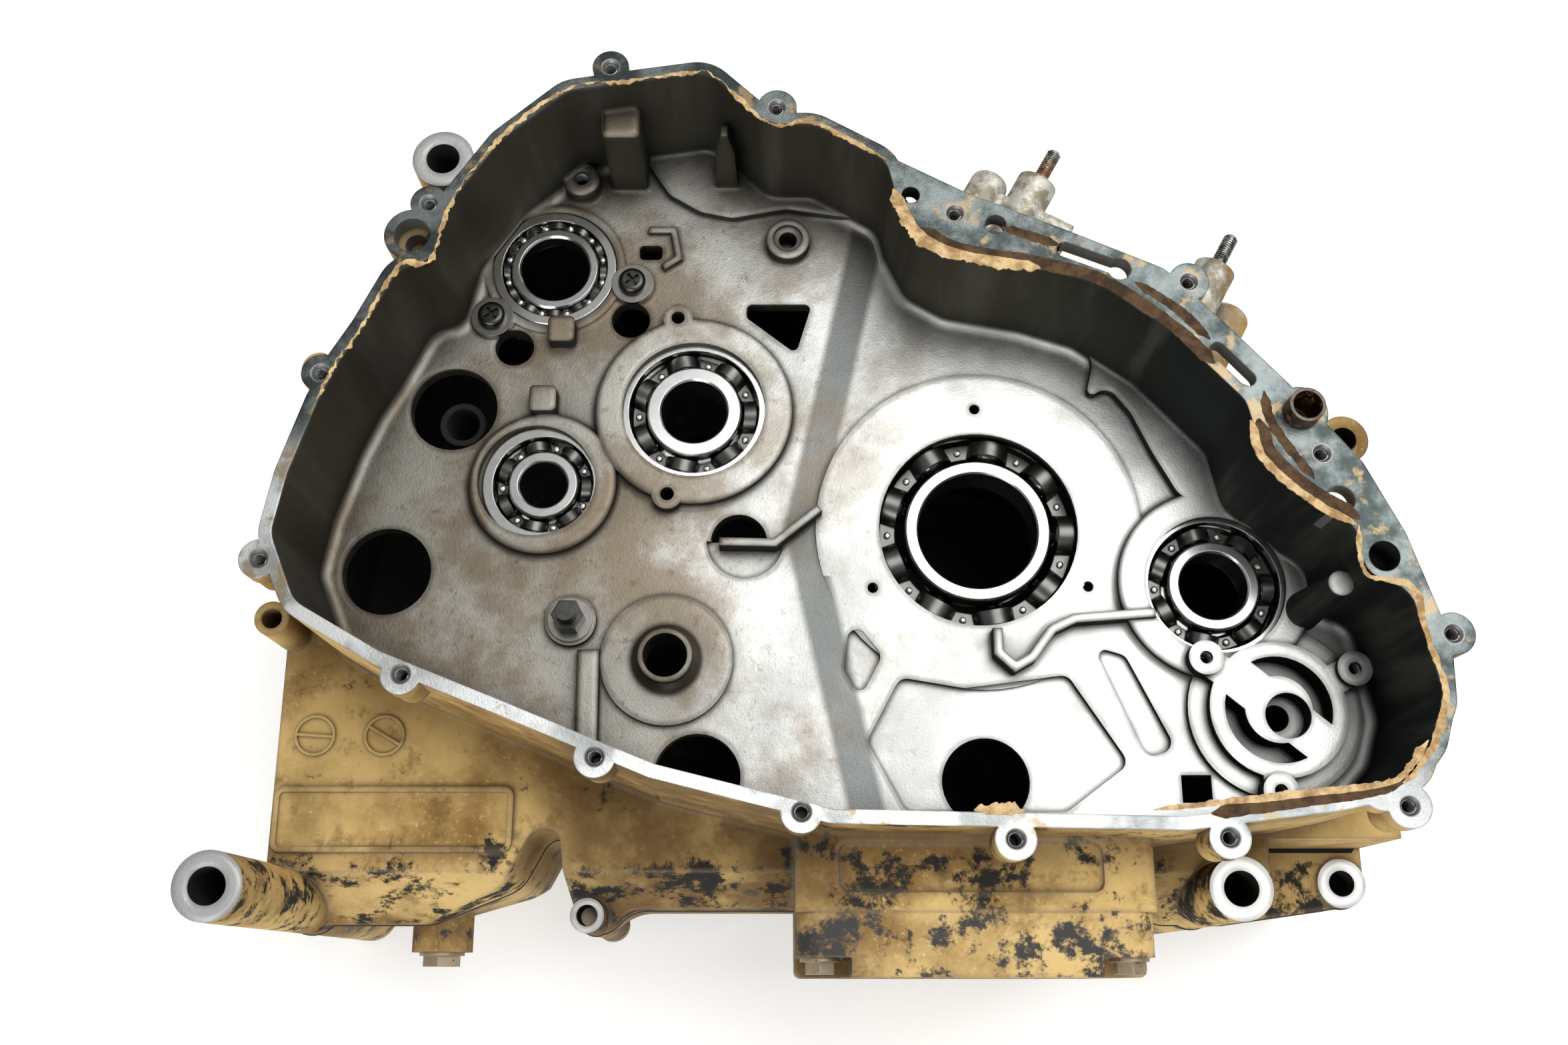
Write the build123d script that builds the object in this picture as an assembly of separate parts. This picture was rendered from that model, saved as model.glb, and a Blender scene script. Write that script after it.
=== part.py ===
from build123d import *
import math
import os
from collections import namedtuple

# An engine crankcase, both halves bolted together, lying on its far side.
# Sizes are in millimetres. Looked at from the cover side, X runs to the right, Y up the
# case and Z at the viewer. While the case is built, heights are counted from the joint
# between its halves. Each finished piece is then lowered by crank_middle, so the origin
# is the middle of the crank bearing's bore.

# Heights above the joint
flange_height = 130.0
floor_height = 65.0
floor_thickness = 7.0
body_height = 50.0
body_top = 6.0
sump_height = 100.0
far_floor = 60.0
far_floor_thickness = 7.0
far_rim = 98.0
sealant_thickness = 0.6
sealant_squeeze = 0.5

# Cuts run past the face they start from by this much, and what stands on a face is sunk into it
past = 1.0
# Keeps two faces out of one plane
hair = 0.01
# Larger than the whole case
beyond = 900.0
# Corners take up no more than this share of a side
corner_share = 0.45

# Walls of the castings
chamber_wall = 5.0
case_wall = 6.0
flange_plate = 8.0
housing_wall = 6.0
rim_inset = 20.0

# Cover flange screws, M6
flange_tap = 2.6
flange_tap_depth = 18.0
flange_sink = 3.6
flange_sink_depth = 1.4
boss_step = 0.8
boss_below_tap = 4.0
flange_bolts = [
    (-223.0, 116.5, 7.5),
    (-152.5, 179.0, 7.5),
    (-84.0, 160.0, 8.0),
    (-13.0, 112.0, 7.0),
    (78.0, 82.0, 8.0),
    (123.0, 10.5, 7.0),
    (164.0, -59.5, 8.0),
    (140.5, -122.0, 8.0),
    (76.0, -133.0, 7.5),
    (0.5, -133.5, 7.5),
    (-75.0, -124.0, 7.5),
    (-149.0, -104.5, 7.5),
    (-220.5, -74.5, 7.5),
    (-276.5, -31.0, 7.5),
    (-260.0, 43.5, 7.5),
]

# The chamber's inner edge at the flange, anticlockwise from its left corner
chamber_points = [
    (-273.0, -21.0), (-262.0, -47.0), (-229.0, -66.0), (-184.0, -84.0), (-128.0, -107.0),
    (-64.0, -123.0), (61.0, -125.5), (114.0, -119.0), (139.0, -114.0), (151.5, -100.0),
    (157.5, -81.0), (153.0, -57.0), (150.0, -42.0), (134.0, -37.0), (133.0, -18.0),
    (117.0, -8.0), (101.0, 8.0), (96.0, 32.0), (68.0, 63.0), (43.0, 81.0), (20.0, 88.5),
    (-12.0, 94.5), (-28.0, 104.0), (-37.0, 123.0), (-40.0, 136.0), (-69.0, 152.5),
    (-87.0, 152.5), (-113.0, 177.0), (-143.0, 172.5), (-170.0, 168.0), (-196.0, 145.0),
    (-214.0, 118.0), (-220.5, 91.0), (-233.0, 88.5), (-245.0, 63.0), (-253.0, 49.0),
    (-260.0, 32.0), (-269.0, 2.5),
]
chamber_corner = 12.0
floor_blend = 4.0
# The wide part of the flange, above the cylinder and the balancer
wide_flange_points = [
    (-75.0, 160.0), (-88.0, 140.0), (-45.0, 110.0), (30.0, 70.0), (85.0, 10.0),
    (120.0, -60.0), (120.0, -118.0), (133.0, -126.0), (149.0, -113.0), (162.0, -86.0),
    (163.0, -62.0), (151.0, -21.0), (138.0, 7.0), (113.0, 39.0), (90.0, 65.0),
    (69.0, 87.5), (31.0, 104.5), (-8.0, 121.0), (-36.0, 136.0), (-61.0, 151.0),
]
wide_flange_corner = 14.0

# The case below the chamber, anticlockwise from the rear lower mounting tube
body_points = [
    (-296.0, -152.0), (-275.0, -158.0), (-232.0, -158.0), (-194.0, -143.0), (-183.0, -122.0),
    (-172.0, -122.0), (-167.0, -162.0), (-156.0, -162.0), (-146.0, -152.0), (57.0, -152.0),
    (80.0, -158.0), (106.0, -158.0), (150.0, -152.0), (168.0, -148.0),
    (168.0, -110.0), (170.0, -62.0), (158.0, -14.0), (148.0, 12.0), (152.0, 28.0), (160.0, 38.0),
    (158.0, 54.0), (120.0, 72.0), (104.0, 84.0), (30.0, 128.0), (8.0, 141.0), (-36.0, 160.0), (-85.0, 183.0),
    (-120.0, 193.0), (-160.0, 189.0), (-203.0, 164.0), (-232.0, 148.0), (-240.0, 118.0),
    (-262.0, 84.0), (-284.0, 68.0), (-288.0, 30.0), (-296.0, -20.0), (-300.0, -60.0),
]
body_corner = 16.0
# The upper half is low at its front lower corner, beside the foot tube: left edge, rear edge, height
low_corner = (114.0, -126.0, 3.0)
front_edge = -159.0
front_lean = 20.0
front_lean_start = 10.0
rear_edge = -301.0
rear_lean = 12.0

# Mounting tubes: x, y, outer radius, bore radius, top and bottom
Tube = namedtuple("Tube", "name x y outer bore top bottom")
mount_tubes = [
    Tube("rear_lower", -283.0, -149.5, 12.5, 6.6, 129.0, -96.0),
    Tube("rear_upper", -220.5, 140.5, 12.5, 6.6, 123.0, -96.0),
    Tube("front_lower", 93.0, -147.5, 12.2, 6.6, 80.0, -80.0),
    Tube("front_foot", 158.0, -141.0, 10.3, 5.3, 5.0, -80.0),
    Tube("front_upper", 159.0, 41.5, 10.6, 5.3, 60.0, -60.0),
]

# Cylinder joint face: its direction from the crank, distance and width
cylinder_angle = 61.0
deck_distance = 118.0
deck_left = 58.0
deck_right = 52.0
deck_clearance = 5.0
neck_height = 60.0
cylinder_bore = 46.0
bore_start = 40.0
cylinder_stud_spread = 38.0
cylinder_stud_tap = 4.2
cylinder_stud_depth = 30.0
# The two side studs stand in bosses of the chamber's wall
side_stud_offsets = [-45.5, 36.0]
side_stud_height = 105.0
side_boss_reach = 133.5
side_boss_radius = 8.5
side_boss_root = 70.0
# Round lugs beside the studs: offset across, reach, height, radius
side_lugs = [(-63.0, 127.0, 105.0, 8.0), (50.0, 127.0, 92.0, 9.0)]
# Webs between them: offset across, width, reach, thickness
side_webs = [(-54.0, 20.0, 120.0, 9.0), (-34.0, 22.0, 121.0, 9.0)]
side_stud_radius = 3.0
side_stud_length = 17.0
side_stud_hold = 14.0
stud_chamfer = 0.6

# Joint bolts between the halves, M8, put in from the far side
joint_bolts = [
    (-161.5, -155.5, 35.0), (-274.0, 62.0, 90.0), (-286.5, -42.0, 80.0), (-184.0, 172.0, 44.0),
    (-60.0, 165.0, 44.0), (160.0, -20.0, 44.0), (160.0, -100.0, 44.0), (-95.0, -141.0, 36.0),
]
joint_boss = 7.0
joint_bolt = 4.0
joint_clearance = 0.15
joint_thread = 22.0
joint_head = 6.6
joint_head_height = 6.0

# Sump block and its cover
sump_left = -77.0
sump_right = 55.5
sump_inner_y = -112.0
sump_seam_y = -157.0
cover_depth = 23.0
sump_bottom = 62.0
sump_wall = 7.0
sump_pocket = 22.0
cover_corner = 9.0
cover_bolt_x = 9.0
cover_bolt_z = 11.0
cover_bolt = 3.0
cover_bolt_clearance = 0.2
cover_bolt_hold = 14.0
cover_head = 6.2
cover_head_height = 6.0

# Shallow recess in the sump block's upper face: x, y, width and depth
block_recess = (-12.0, -141.0, 98.0, 18.0)
recess_depth = 1.8
recess_corner = 4.0
# The cover is lower at its corners, so its screws stand clear of its outer face
cover_pillar = 16.0
cover_notch = 11.5

# Plain raised pad and two round stamps on the rear lower face
plain_pad = (-239.5, -118.5, 97.0, 26.0)
plain_pad_rise = 1.6
plain_pad_rim = 2.0
stamps = [(-274.0, -84.5, -4.0), (-245.5, -84.5, -30.0)]
stamp_radius = 8.4
stamp_rise = 0.9
stamp_rim = 1.1

# Drain boss and plug under the gearbox
drain_x = -230.0
drain_z = -14.0
drain_boss = 13.0
drain_boss_y = -169.0
drain_plug = 6.0
drain_clearance = 0.2
drain_head = 8.5
drain_head_height = 6.0
drain_hold = 16.0
drain_boss_root = 14.0

# Screws: how far one stops short of its hole's end, and their heads
hole_spare = 1.0
head_flange = 1.2
head_flange_share = 0.25
head_flats_share = 0.85

# Bearings: lip is the diameter of the hole in the housing's lip, rise the boss's height
Bearing = namedtuple(
    "Bearing", "name x y bore outside width balls ball land lip boss rise"
)
crank = Bearing("crank", 0.0, 0.0, 50.0, 100.0, 20.0, 9, 15.0, 61.0, 83.0, 0.0, 1.5)
gearbox_input = Bearing(
    "gearbox_input", -119.5, 51.5, 28.0, 68.0, 18.0, 7, 12.3, 40.4, 60.5, 42.0, 6.0
)
gearbox_output = Bearing(
    "gearbox_output", -182.0, 119.5, 30.0, 55.0, 9.0, 12, 6.35, 38.6, 0.0, 31.0, 1.0
)
reverse_shaft = Bearing(
    "reverse_shaft", -182.5, 19.0, 20.0, 52.0, 15.0, 7, 9.5, 29.6, 44.5, 31.0, 5.0
)
balancer = Bearing("balancer", 96.0, -25.0, 28.0, 64.0, 17.0, 7, 11.5, 37.7, 57.5, 40.0, 5.0)
bearings = [crank, gearbox_input, gearbox_output, reverse_shaft, balancer]
lip_thickness = 3.0
seat_lip = 3.0
lip_ease = 1.0
boss_flare = 3.0
ring_chamfer = 0.8
running_gap = 0.3
cage_sheet = 0.9
cage_share = 0.42
rivet_radius = 0.9
rivet_stand = 1.2
seat_gap = 0.02

# Empty bearing seats in the far half, on the same axes
far_seat_step = 4.0
far_lip = 6.0
far_boss_rise = 16.0
far_boss_depth = 12.0
far_seat_floor = 2.0
guide_floor = 4.0

# Floor of the chamber: raised crank disc, its slope and edge
crank_disc = 68.0
crank_disc_rise = 2.6
crank_disc_fade = -32.0
soft_edge = 1.8

# Round holes through the floor: x, y, radius
floor_holes = [
    (-222.5, 53.5, 18.6), (-246.0, -18.5, 18.5), (-0.5, -105.0, 17.6), (-116.0, -103.5, 17.5),
    (-198.0, 82.0, 8.4), (-148.0, 95.0, 8.4),
]
# Small oil and screw holes around the crank and the gearbox bearing
small_holes = [(0.0, 52.5, 2.2), (-44.5, -25.5, 2.2), (44.5, -25.0, 2.2)]
small_hole_depth = 10.0
lug_holes = [(-127.0, 93.5, 2.9), (-130.0, 13.5, 2.9)]
lug_radius = 6.5
half_hole = (-100.0, -5.5, 11.7)
window_points = [(-97.5, 102.5), (-97.5, 96.0), (-76.0, 79.0), (-69.0, 102.5)]
window_corner = 2.5
slot_window = (-140.0, 127.5, 10.0, 7.0)
half_bed = (-97.5, -5.5, 16.0, 2.0)
reverse_relief = (-185.5, 20.0, 24.2)
guide_tube = (10.0, 7.4, 46.0)

# Screws that hold the gearbox output bearing, M6 with washers
retaining_screws = [(-208.0, 95.5), (-147.5, 111.5)]
screw_lug = 9.5
washer_radius = 9.2
washer_thickness = 1.6
screw_head = 6.0
screw_head_height = 4.2
screw_shank = 3.0
screw_length = 14.0
screw_clearance = 0.15
cross_depth = 2.2
cross_width = 1.3
cross_length = 6.6
cross_turns = [35, 125]
dome_share = 0.55

# Cast pads, bosses and posts on the floor
cast_pads = [(-177.0, 87.5), (-183.5, 55.5)]
pad_size = 11.5
pad_rise = 9.0
pad_corner = 2.2
small_edge = 1.0
tapped_boss = (-171.0, 160.0, 8.0, 3.4, 8.0)
sunk_boss = (-79.5, 131.5, 9.6, 4.0, 6.0)
sunk_width = 6.6
sunk_depth = 2.0
pillar = (-150.0, 166.0, 16.0, 15.0, 47.0)
post = (-106.5, 163.0, 10.0, 12.0, 43.0)
# The post narrows upwards: share of its height, of its width and of its depth
post_sections = [(0.0, 1.0, 1.0), (0.7, 0.8, 0.6), (1.0, 0.25, 0.4)]
sleeve_boss = (-129.0, -56.0, 27.0, 11.1, 9.0)
sleeve_pad_rise = 2.0
sleeve_rise = 11.0
sleeve_skirt = 5.0
sleeve_skirt_rise = 7.7
pin_place = (-168.5, -40.0)
pin_boss = 10.5
pin_rise = 3.0
pin_radius = 4.0
pin_height = 17.0
pin_hex = 5.8
pin_hex_height = 9.0
pin_washer = 9.2
pin_hold = 8.0
end_post = (149.5, -23.5, 5.0, 8.0)
step_points = [
    (-143.0, 180.0), (-141.0, 168.0), (-132.0, 154.0), (-118.0, 145.5), (-104.0, 142.5),
    (-80.0, 147.0), (-48.0, 142.0), (-40.0, 150.0), (-69.0, 160.0), (-90.0, 170.0),
    (-113.0, 184.0),
]
step_rise = 4.0
step_corner = 9.0
bean_points = [
    (47.0, 56.0), (52.0, 76.0), (40.0, 84.0), (0.0, 100.0), (70.0, 70.0),
    (104.0, 30.0), (104.0, 6.0), (84.0, 13.0), (74.0, 32.0), (66.0, 50.0), (57.0, 62.0),
]
bean_rise = 5.0

# Ribs: points, thickness and height above the floor
Rib = namedtuple("Rib", "points thickness rise")
oil_rib = Rib(
    [(5.5, -44.0), (5.5, -54.0), (12.0, -60.0), (19.0, -56.0), (27.5, -44.5), (37.0, -40.0),
     (70.0, -37.5)], 4.0, 9.0,
)
deflector = Rib([(-108.0, -7.5), (-85.0, -8.0), (-66.5, 7.0)], 3.5, 9.0)
stiffener = Rib([(-160.5, -52.5), (-160.0, -95.0)], 9.0, 7.0)
slot_lip = Rib([(-141.0, 137.5), (-130.0, 137.5), (-127.5, 124.0), (-134.5, 119.5)], 3.0, 4.0)
rib_ends = 1.6

# Shallow beds cast into the floor
bed_depth = 2.5
bed_points = [
    [(-48.0, -89.0), (-34.0, -63.0), (-8.0, -67.5), (34.0, -62.0), (57.0, -98.0), (31.0, -117.0),
     (-33.0, -117.0)],
    [(-54.0, -37.0), (-41.0, -54.0), (-50.5, -72.0), (-57.0, -60.0)],
    [(45.0, -50.0), (58.0, -54.0), (76.0, -92.0), (64.0, -96.0)],
]
bed_corner = 5.0

# Oil pump seat: plate with three lugs, two kidney ports and a stepped bore
pump_centre = (116.0, -77.5)
pump_radius = 27.5
pump_rise = 8.0
pump_lugs = [(88.0, -57.0), (147.0, -61.5), (113.0, -110.0)]
pump_lug = 7.0
pump_lug_rise = 11.0
pump_arm = 12.0
pump_foot = 35.0
pump_foot_rise = 3.0
pump_tap = 2.6
pump_tap_depth = 15.0
pump_bore = (119.5, -80.0, 9.2, 10.0)
pump_core = (117.5, -79.5, 5.4, 16.0)
pump_collar = 13.0
port_inner = 13.5
port_outer = 21.5
port_depth = 12.0
port_turn = 140.0
port_gap = 17.0
pump_window = (83.0, -108.0, 12.0, 11.0)

# Cover flange: dowels, slots and oil ways
dowel_place = (116.5, 27.0)
dowel_outer = 6.8
dowel_bore = 5.5
dowel_stand = 8.5
dowel_hold = 9.0
dowel_boss = 10.5
dowel_clearance = 0.05
# The screw's way goes on below a dowel and below the empty seat: radius and depth
dowel_way = (4.6, 8.5)
dowel_seat = (-229.0, 102.5, 11.0, 7.2, 9.0)
flange_holes = [(-30.5, 120.0, 3.5), (3.0, 107.0, 4.2), (128.0, -8.0, 5.5)]
blind_hole = (142.0, -30.0, 5.7, 9.0, 14.0)
flange_slots = [((30.0, 96.0), (50.0, 88.0), 3.3), ((87.0, 53.0), (97.5, 41.0), 3.2)]
slot_end = (51.0, 87.5, 4.6)
gasket_thickness = 0.6
gasket_width = 6.5
gasket_centre = (30.0, 60.0)
gasket_size = (150.0, 110.0)

# The origin is the middle of the crank bearing's bore
crank_middle = floor_height + crank.rise - lip_thickness - crank.width / 2
half_sealant = sealant_thickness / 2
# A shape stands on its place, or hangs below it
standing = (Align.CENTER, Align.CENTER, Align.MIN)
hanging = (Align.CENTER, Align.CENTER, Align.MAX)


def rounded(points, radius):
    """A closed outline whose corners are rounded as far as their sides allow."""
    radii = []
    for index, point in enumerate(points):
        here = Vector(*point)
        back = Vector(*points[index - 1]) - here
        ahead = Vector(*points[(index + 1) % len(points)]) - here
        turn = math.radians(180 - back.get_angle(ahead))
        room = corner_share * min(back.length, ahead.length)
        radii.append(min(radius, room / math.tan(turn / 2)))
    return make_face(FilletPolyline(*points, radius=radii, close=True))


def slab(outline, low, high):
    """An upright solid of an outline between two heights."""
    return extrude(Pos(0, 0, low) * outline, high - low, dir=(0, 0, 1))


def disc(x, y, radius, low, high):
    """An upright cylinder between two heights."""
    middle = Pos(x, y, (low + high) / 2)
    return middle * Cylinder(radius, high - low)


def hexagon(x, y, radius, low, high):
    """An upright hexagonal prism between two heights, radius to its flats."""
    shape = RegularPolygon(radius, 6, major_radius=False)
    return slab(Pos(x, y) * shape, low, high)


def band(points, width):
    """A flat strip of even width along a line of points."""
    line = Polyline(*points)
    return trace(line, width)


def rib(shape, base):
    """An upright rib along its points, with eased upper edges."""
    solid = slab(band(shape.points, shape.thickness), base, base + shape.rise)
    top = solid.faces().sort_by(Axis.Z)[-1]
    return fillet(top.edges(), min(rib_ends, shape.thickness / 3))


def along_cylinder(offset_x, reach, height):
    """A place on the cylinder's side: across the joint face, along its axis, and up."""
    angle = math.radians(cylinder_angle)
    x = reach * math.cos(angle) + offset_x * math.sin(angle)
    y = reach * math.sin(angle) - offset_x * math.cos(angle)
    across = (math.sin(angle), -math.cos(angle), 0)
    outwards = (math.cos(angle), math.sin(angle), 0)
    return Plane(origin=(x, y, height), x_dir=across, z_dir=outwards)


def rod(offset_x, low, high, height, radius):
    """A round bar along the cylinder's axis, between two distances from the crank."""
    base = along_cylinder(offset_x, low, height)
    return base * Cylinder(radius, high - low, align=standing)


def face_height(bearing):
    """Height of a bearing's visible face."""
    if bearing.lip:
        return floor_height + bearing.rise - lip_thickness
    return floor_height + bearing.rise


def chamber_outline():
    return rounded(chamber_points, chamber_corner)


def flange_outline():
    """The flange's outer edge: the wall, the wide part and a lobe at each screw."""
    shape = offset(chamber_outline(), chamber_wall) + rounded(wide_flange_points, wide_flange_corner)
    for x, y, radius in flange_bolts:
        shape += Pos(x, y) * Circle(radius)
    shape += Pos(*dowel_place) * Circle(dowel_boss)
    shape += Pos(dowel_seat[0], dowel_seat[1]) * Circle(dowel_seat[2])
    return shape


def lobes():
    """A disc round each mounting tube and joint bolt."""
    shapes = [Pos(tube.x, tube.y) * Circle(tube.outer) for tube in mount_tubes]
    return shapes + [Pos(x, y) * Circle(joint_boss) for x, y, _ in joint_bolts]


def body_outline():
    """The outline at the joint, with a lobe round each tube and joint bolt."""
    return rounded(body_points, body_corner) + lobes()


def neck(low, high):
    """The block that carries the cylinder, between two heights."""
    width = deck_left + deck_right
    base = along_cylinder((deck_right - deck_left) / 2, 0, (low + high) / 2)
    return base * Box(width, high - low, deck_distance, align=standing)


def bearing_bosses():
    """Raised housings on the floor and under it."""
    shapes = []
    for item in bearings:
        top = floor_height + item.rise
        bottom = face_height(item) - item.width - lip_thickness
        housing = item.outside / 2 + housing_wall
        shapes.append(disc(item.x, item.y, housing, bottom, floor_height - past))
        if item.boss:
            boss = disc(item.x, item.y, item.boss, floor_height - past, top)
            shapes.append(fillet(boss.edges().group_by(Axis.Z)[-1], min(soft_edge, item.rise / 2)))
            flare = min(boss_flare, item.rise)
            foot = Pos(item.x, item.y, floor_height + flare / 2 - past)
            shapes.append(foot * Cone(item.boss + flare, item.boss - past, flare + past))
    return shapes


def bearing_cuts():
    """Seats for the bearings, each with its lip or its open bore."""
    cuts = []
    for item in bearings:
        face = face_height(item)
        top = floor_height + item.rise
        seat = item.outside / 2 + seat_gap
        if item.lip:
            cuts.append(disc(item.x, item.y, seat, 0, face))
            cuts.append(disc(item.x, item.y, item.lip / 2, face - past, top + crank_disc_rise + past))
            edge = Pos(item.x, item.y, top)
            cuts.append(edge * Cone(item.lip / 2 - lip_ease, item.lip / 2 + lip_ease, 2 * lip_ease))
        else:
            cuts.append(disc(item.x, item.y, seat, face - item.width, top + past))
            cuts.append(disc(item.x, item.y, seat - seat_lip, 0, face))
    x, y, radius = reverse_relief
    over = floor_height + reverse_shaft.rise + past
    cuts.append(disc(x, y, radius, face_height(reverse_shaft) - past, over))
    return cuts


def floor_castings():
    """Everything that stands up from the chamber's floor."""
    base = floor_height - past
    shapes = []
    tilt = math.degrees(math.atan2(crank_disc_rise, crank_disc - crank_disc_fade))
    raised = disc(0, 0, crank_disc, base, floor_height + 2 * crank_disc_rise)
    above = Plane(origin=(0, crank_disc_fade, floor_height), z_dir=(0, 0, 1)).rotated((tilt, 0, 0))
    raised -= above * Box(beyond, beyond, crank_disc, align=standing)
    shapes.append(raised)
    for x, y, _ in lug_holes:
        shapes.append(disc(x, y, lug_radius, base, floor_height + gearbox_input.rise))
    for x, y in retaining_screws:
        shapes.append(disc(x, y, screw_lug, base, floor_height + gearbox_output.rise))
    for x, y in cast_pads:
        pad = Pos(x, y, base + (pad_rise + past) / 2) * Box(pad_size, pad_size, pad_rise + past)
        pad = fillet(pad.edges().filter_by(Axis.Z), pad_corner)
        shapes.append(fillet(pad.edges().group_by(Axis.Z)[-1], small_edge))
    for x, y, radius, _, rise in (tapped_boss, sunk_boss):
        boss = disc(x, y, radius, base, floor_height + rise)
        shapes.append(fillet(boss.edges().group_by(Axis.Z)[-1], small_edge))
    x, y, width, depth, rise = pillar
    block = Pos(x, y, base + rise / 2) * Box(width, depth, rise)
    shapes.append(fillet(block.edges().filter_by(Axis.Z) + block.edges().group_by(Axis.Z)[-1], pad_corner))
    x, y, width, depth, rise = post
    sections = [Pos(x, y, base + up * rise) * Rectangle(width * across, depth * along)
                for up, across, along in post_sections]
    shapes.append(loft(sections, ruled=True))
    x, y, pad, outer, _ = sleeve_boss
    shapes.append(disc(x, y, pad, base, floor_height + sleeve_pad_rise))
    ring = disc(x, y, outer, base, floor_height + sleeve_rise)
    shapes.append(fillet(ring.edges().group_by(Axis.Z)[-1], small_edge))
    skirt = Pos(x, y, floor_height + sleeve_skirt_rise / 2)
    shapes.append(skirt * Cone(outer + sleeve_skirt, outer, sleeve_skirt_rise))
    shapes.append(disc(*pin_place, pin_boss, base, floor_height + pin_rise))
    x, y, radius, rise = end_post
    shapes.append(disc(x, y, radius, base, floor_height + rise))
    shapes.append(slab(rounded(step_points, step_corner), base, floor_height + step_rise))
    shapes.append(slab(rounded(bean_points, step_corner), base, floor_height + bean_rise))
    for item in (oil_rib, deflector, stiffener, slot_lip):
        shapes.append(rib(item, base))
    return shapes


def pump_seat():
    """The oil pump's seat: a plate with three lugs on a wider foot."""
    base = floor_height - past
    x, y = pump_centre
    shape = disc(x, y, pump_radius, base, floor_height + pump_rise)
    shape += disc(x, y, pump_foot, base, floor_height + pump_foot_rise)
    for lug_x, lug_y in pump_lugs:
        arm = band([(x, y), (lug_x, lug_y)], pump_arm)
        shape += slab(arm, base, floor_height + pump_rise)
        shape += disc(lug_x, lug_y, pump_lug, base, floor_height + pump_lug_rise)
    return shape


def pump_cuts():
    """The pump seat's kidney ports, stepped bore, tapped lugs and the window beside it."""
    top = floor_height + pump_rise
    x, y = pump_centre
    ring = Pos(x, y) * Circle(port_outer) - Pos(x, y) * Circle(port_inner)
    ends = Pos(x, y) * Rot(0, 0, port_turn) * Rectangle(4 * port_outer, port_gap)
    cuts = [slab(ring - ends, top - port_depth, top + past)]
    x_bore, y_bore, bore, depth = pump_bore
    cuts.append(disc(x_bore, y_bore, bore, top - depth, top + past))
    x_core, y_core, core, core_depth = pump_core
    cuts.append(disc(x_core, y_core, core, top - core_depth, top))
    lug_top = floor_height + pump_lug_rise
    for lug_x, lug_y in pump_lugs:
        cuts.append(disc(lug_x, lug_y, pump_tap, lug_top - pump_tap_depth, lug_top + past))
    x, y, width, height = pump_window
    cuts.append(slab(Pos(x, y) * Rectangle(width, height), floor_height - 2 * floor_thickness, top + past))
    return cuts


def bed_cuts():
    """Shallow beds in the floor, cut before anything stands on it."""
    over = floor_height + past
    cuts = [slab(rounded(points, bed_corner), floor_height - bed_depth, over) for points in bed_points]
    x, y, radius, depth = half_bed
    bed = Pos(x, y) * Circle(radius)
    bed -= Pos(x, y + radius) * Rectangle(2 * radius, 2 * radius)
    cuts.append(slab(bed, floor_height - depth, over))
    return cuts


def floor_cuts():
    """Holes and windows in the floor and in what stands on it."""
    under = floor_height - 2 * floor_thickness
    over = floor_height + past
    cuts = []
    for x, y, radius in floor_holes:
        cuts.append(disc(x, y, radius, under, over + crank_disc_rise))
    for x, y, radius in small_holes:
        cuts.append(disc(x, y, radius, floor_height - small_hole_depth, over + crank_disc_rise))
    for x, y, radius in lug_holes:
        cuts.append(disc(x, y, radius, under, over + gearbox_input.rise))
    x, y, radius = half_hole
    half = Pos(x, y) * Circle(radius)
    half -= Pos(x, y - radius) * Rectangle(2 * radius, 2 * radius)
    cuts.append(slab(half, under, over))
    cuts.append(slab(rounded(window_points, window_corner), under, over))
    x, y, width, height = slot_window
    cuts.append(slab(Pos(x, y) * RectangleRounded(width, height, 2), under, over))
    for x, y, _, hole, rise in (tapped_boss, sunk_boss):
        cuts.append(disc(x, y, hole, floor_height - floor_thickness + past, floor_height + rise + past))
    x, y, _, _, rise = sunk_boss
    top = floor_height + rise
    cuts.append(disc(x, y, sunk_width, top - sunk_depth, top + past))
    x, y, _, _, bore = sleeve_boss
    cuts.append(disc(x, y, bore, under, floor_height + sleeve_rise + past))
    top = floor_height + gearbox_output.rise
    for x, y in retaining_screws:
        cuts.append(disc(x, y, screw_shank + screw_clearance, top - screw_length, top + past))
    top = floor_height + pin_rise
    cuts.append(disc(*pin_place, pin_radius + screw_clearance, top - pin_hold, top + past))
    return cuts


def flange_cuts():
    """Screw holes, the empty dowel seat, oil ways and slots in the flange."""
    top = flange_height
    low = top - flange_plate - past
    cuts = []
    for x, y, _ in flange_bolts:
        cuts.append(disc(x, y, flange_tap, top - flange_tap_depth, top + past))
        sink = Pos(x, y, top - flange_sink_depth / 2 + hair)
        cuts.append(sink * Cone(flange_tap, flange_sink, flange_sink_depth))
    x, y, _, seat, depth = dowel_seat
    cuts.append(disc(x, y, seat, top - depth, top + past))
    way, way_depth = dowel_way
    cuts.append(disc(x, y, way, top - depth - way_depth, top))
    x, y = dowel_place
    cuts.append(disc(x, y, dowel_outer + dowel_clearance, top - dowel_hold, top + past))
    cuts.append(disc(x, y, way, top - dowel_hold - way_depth, top))
    for x, y, radius in flange_holes:
        cuts.append(disc(x, y, radius, low, top + past))
    x, y, radius, _, depth = blind_hole
    cuts.append(disc(x, y, radius, top - depth, top + past))
    for start, end, radius in flange_slots:
        cuts.append(slab(band([start, end], 2 * radius), low, top + past))
        for x, y in (start, end):
            cuts.append(disc(x, y, radius, low, top + past))
    x, y, radius = slot_end
    cuts.append(disc(x, y, radius, low, top + past))
    return cuts


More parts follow.
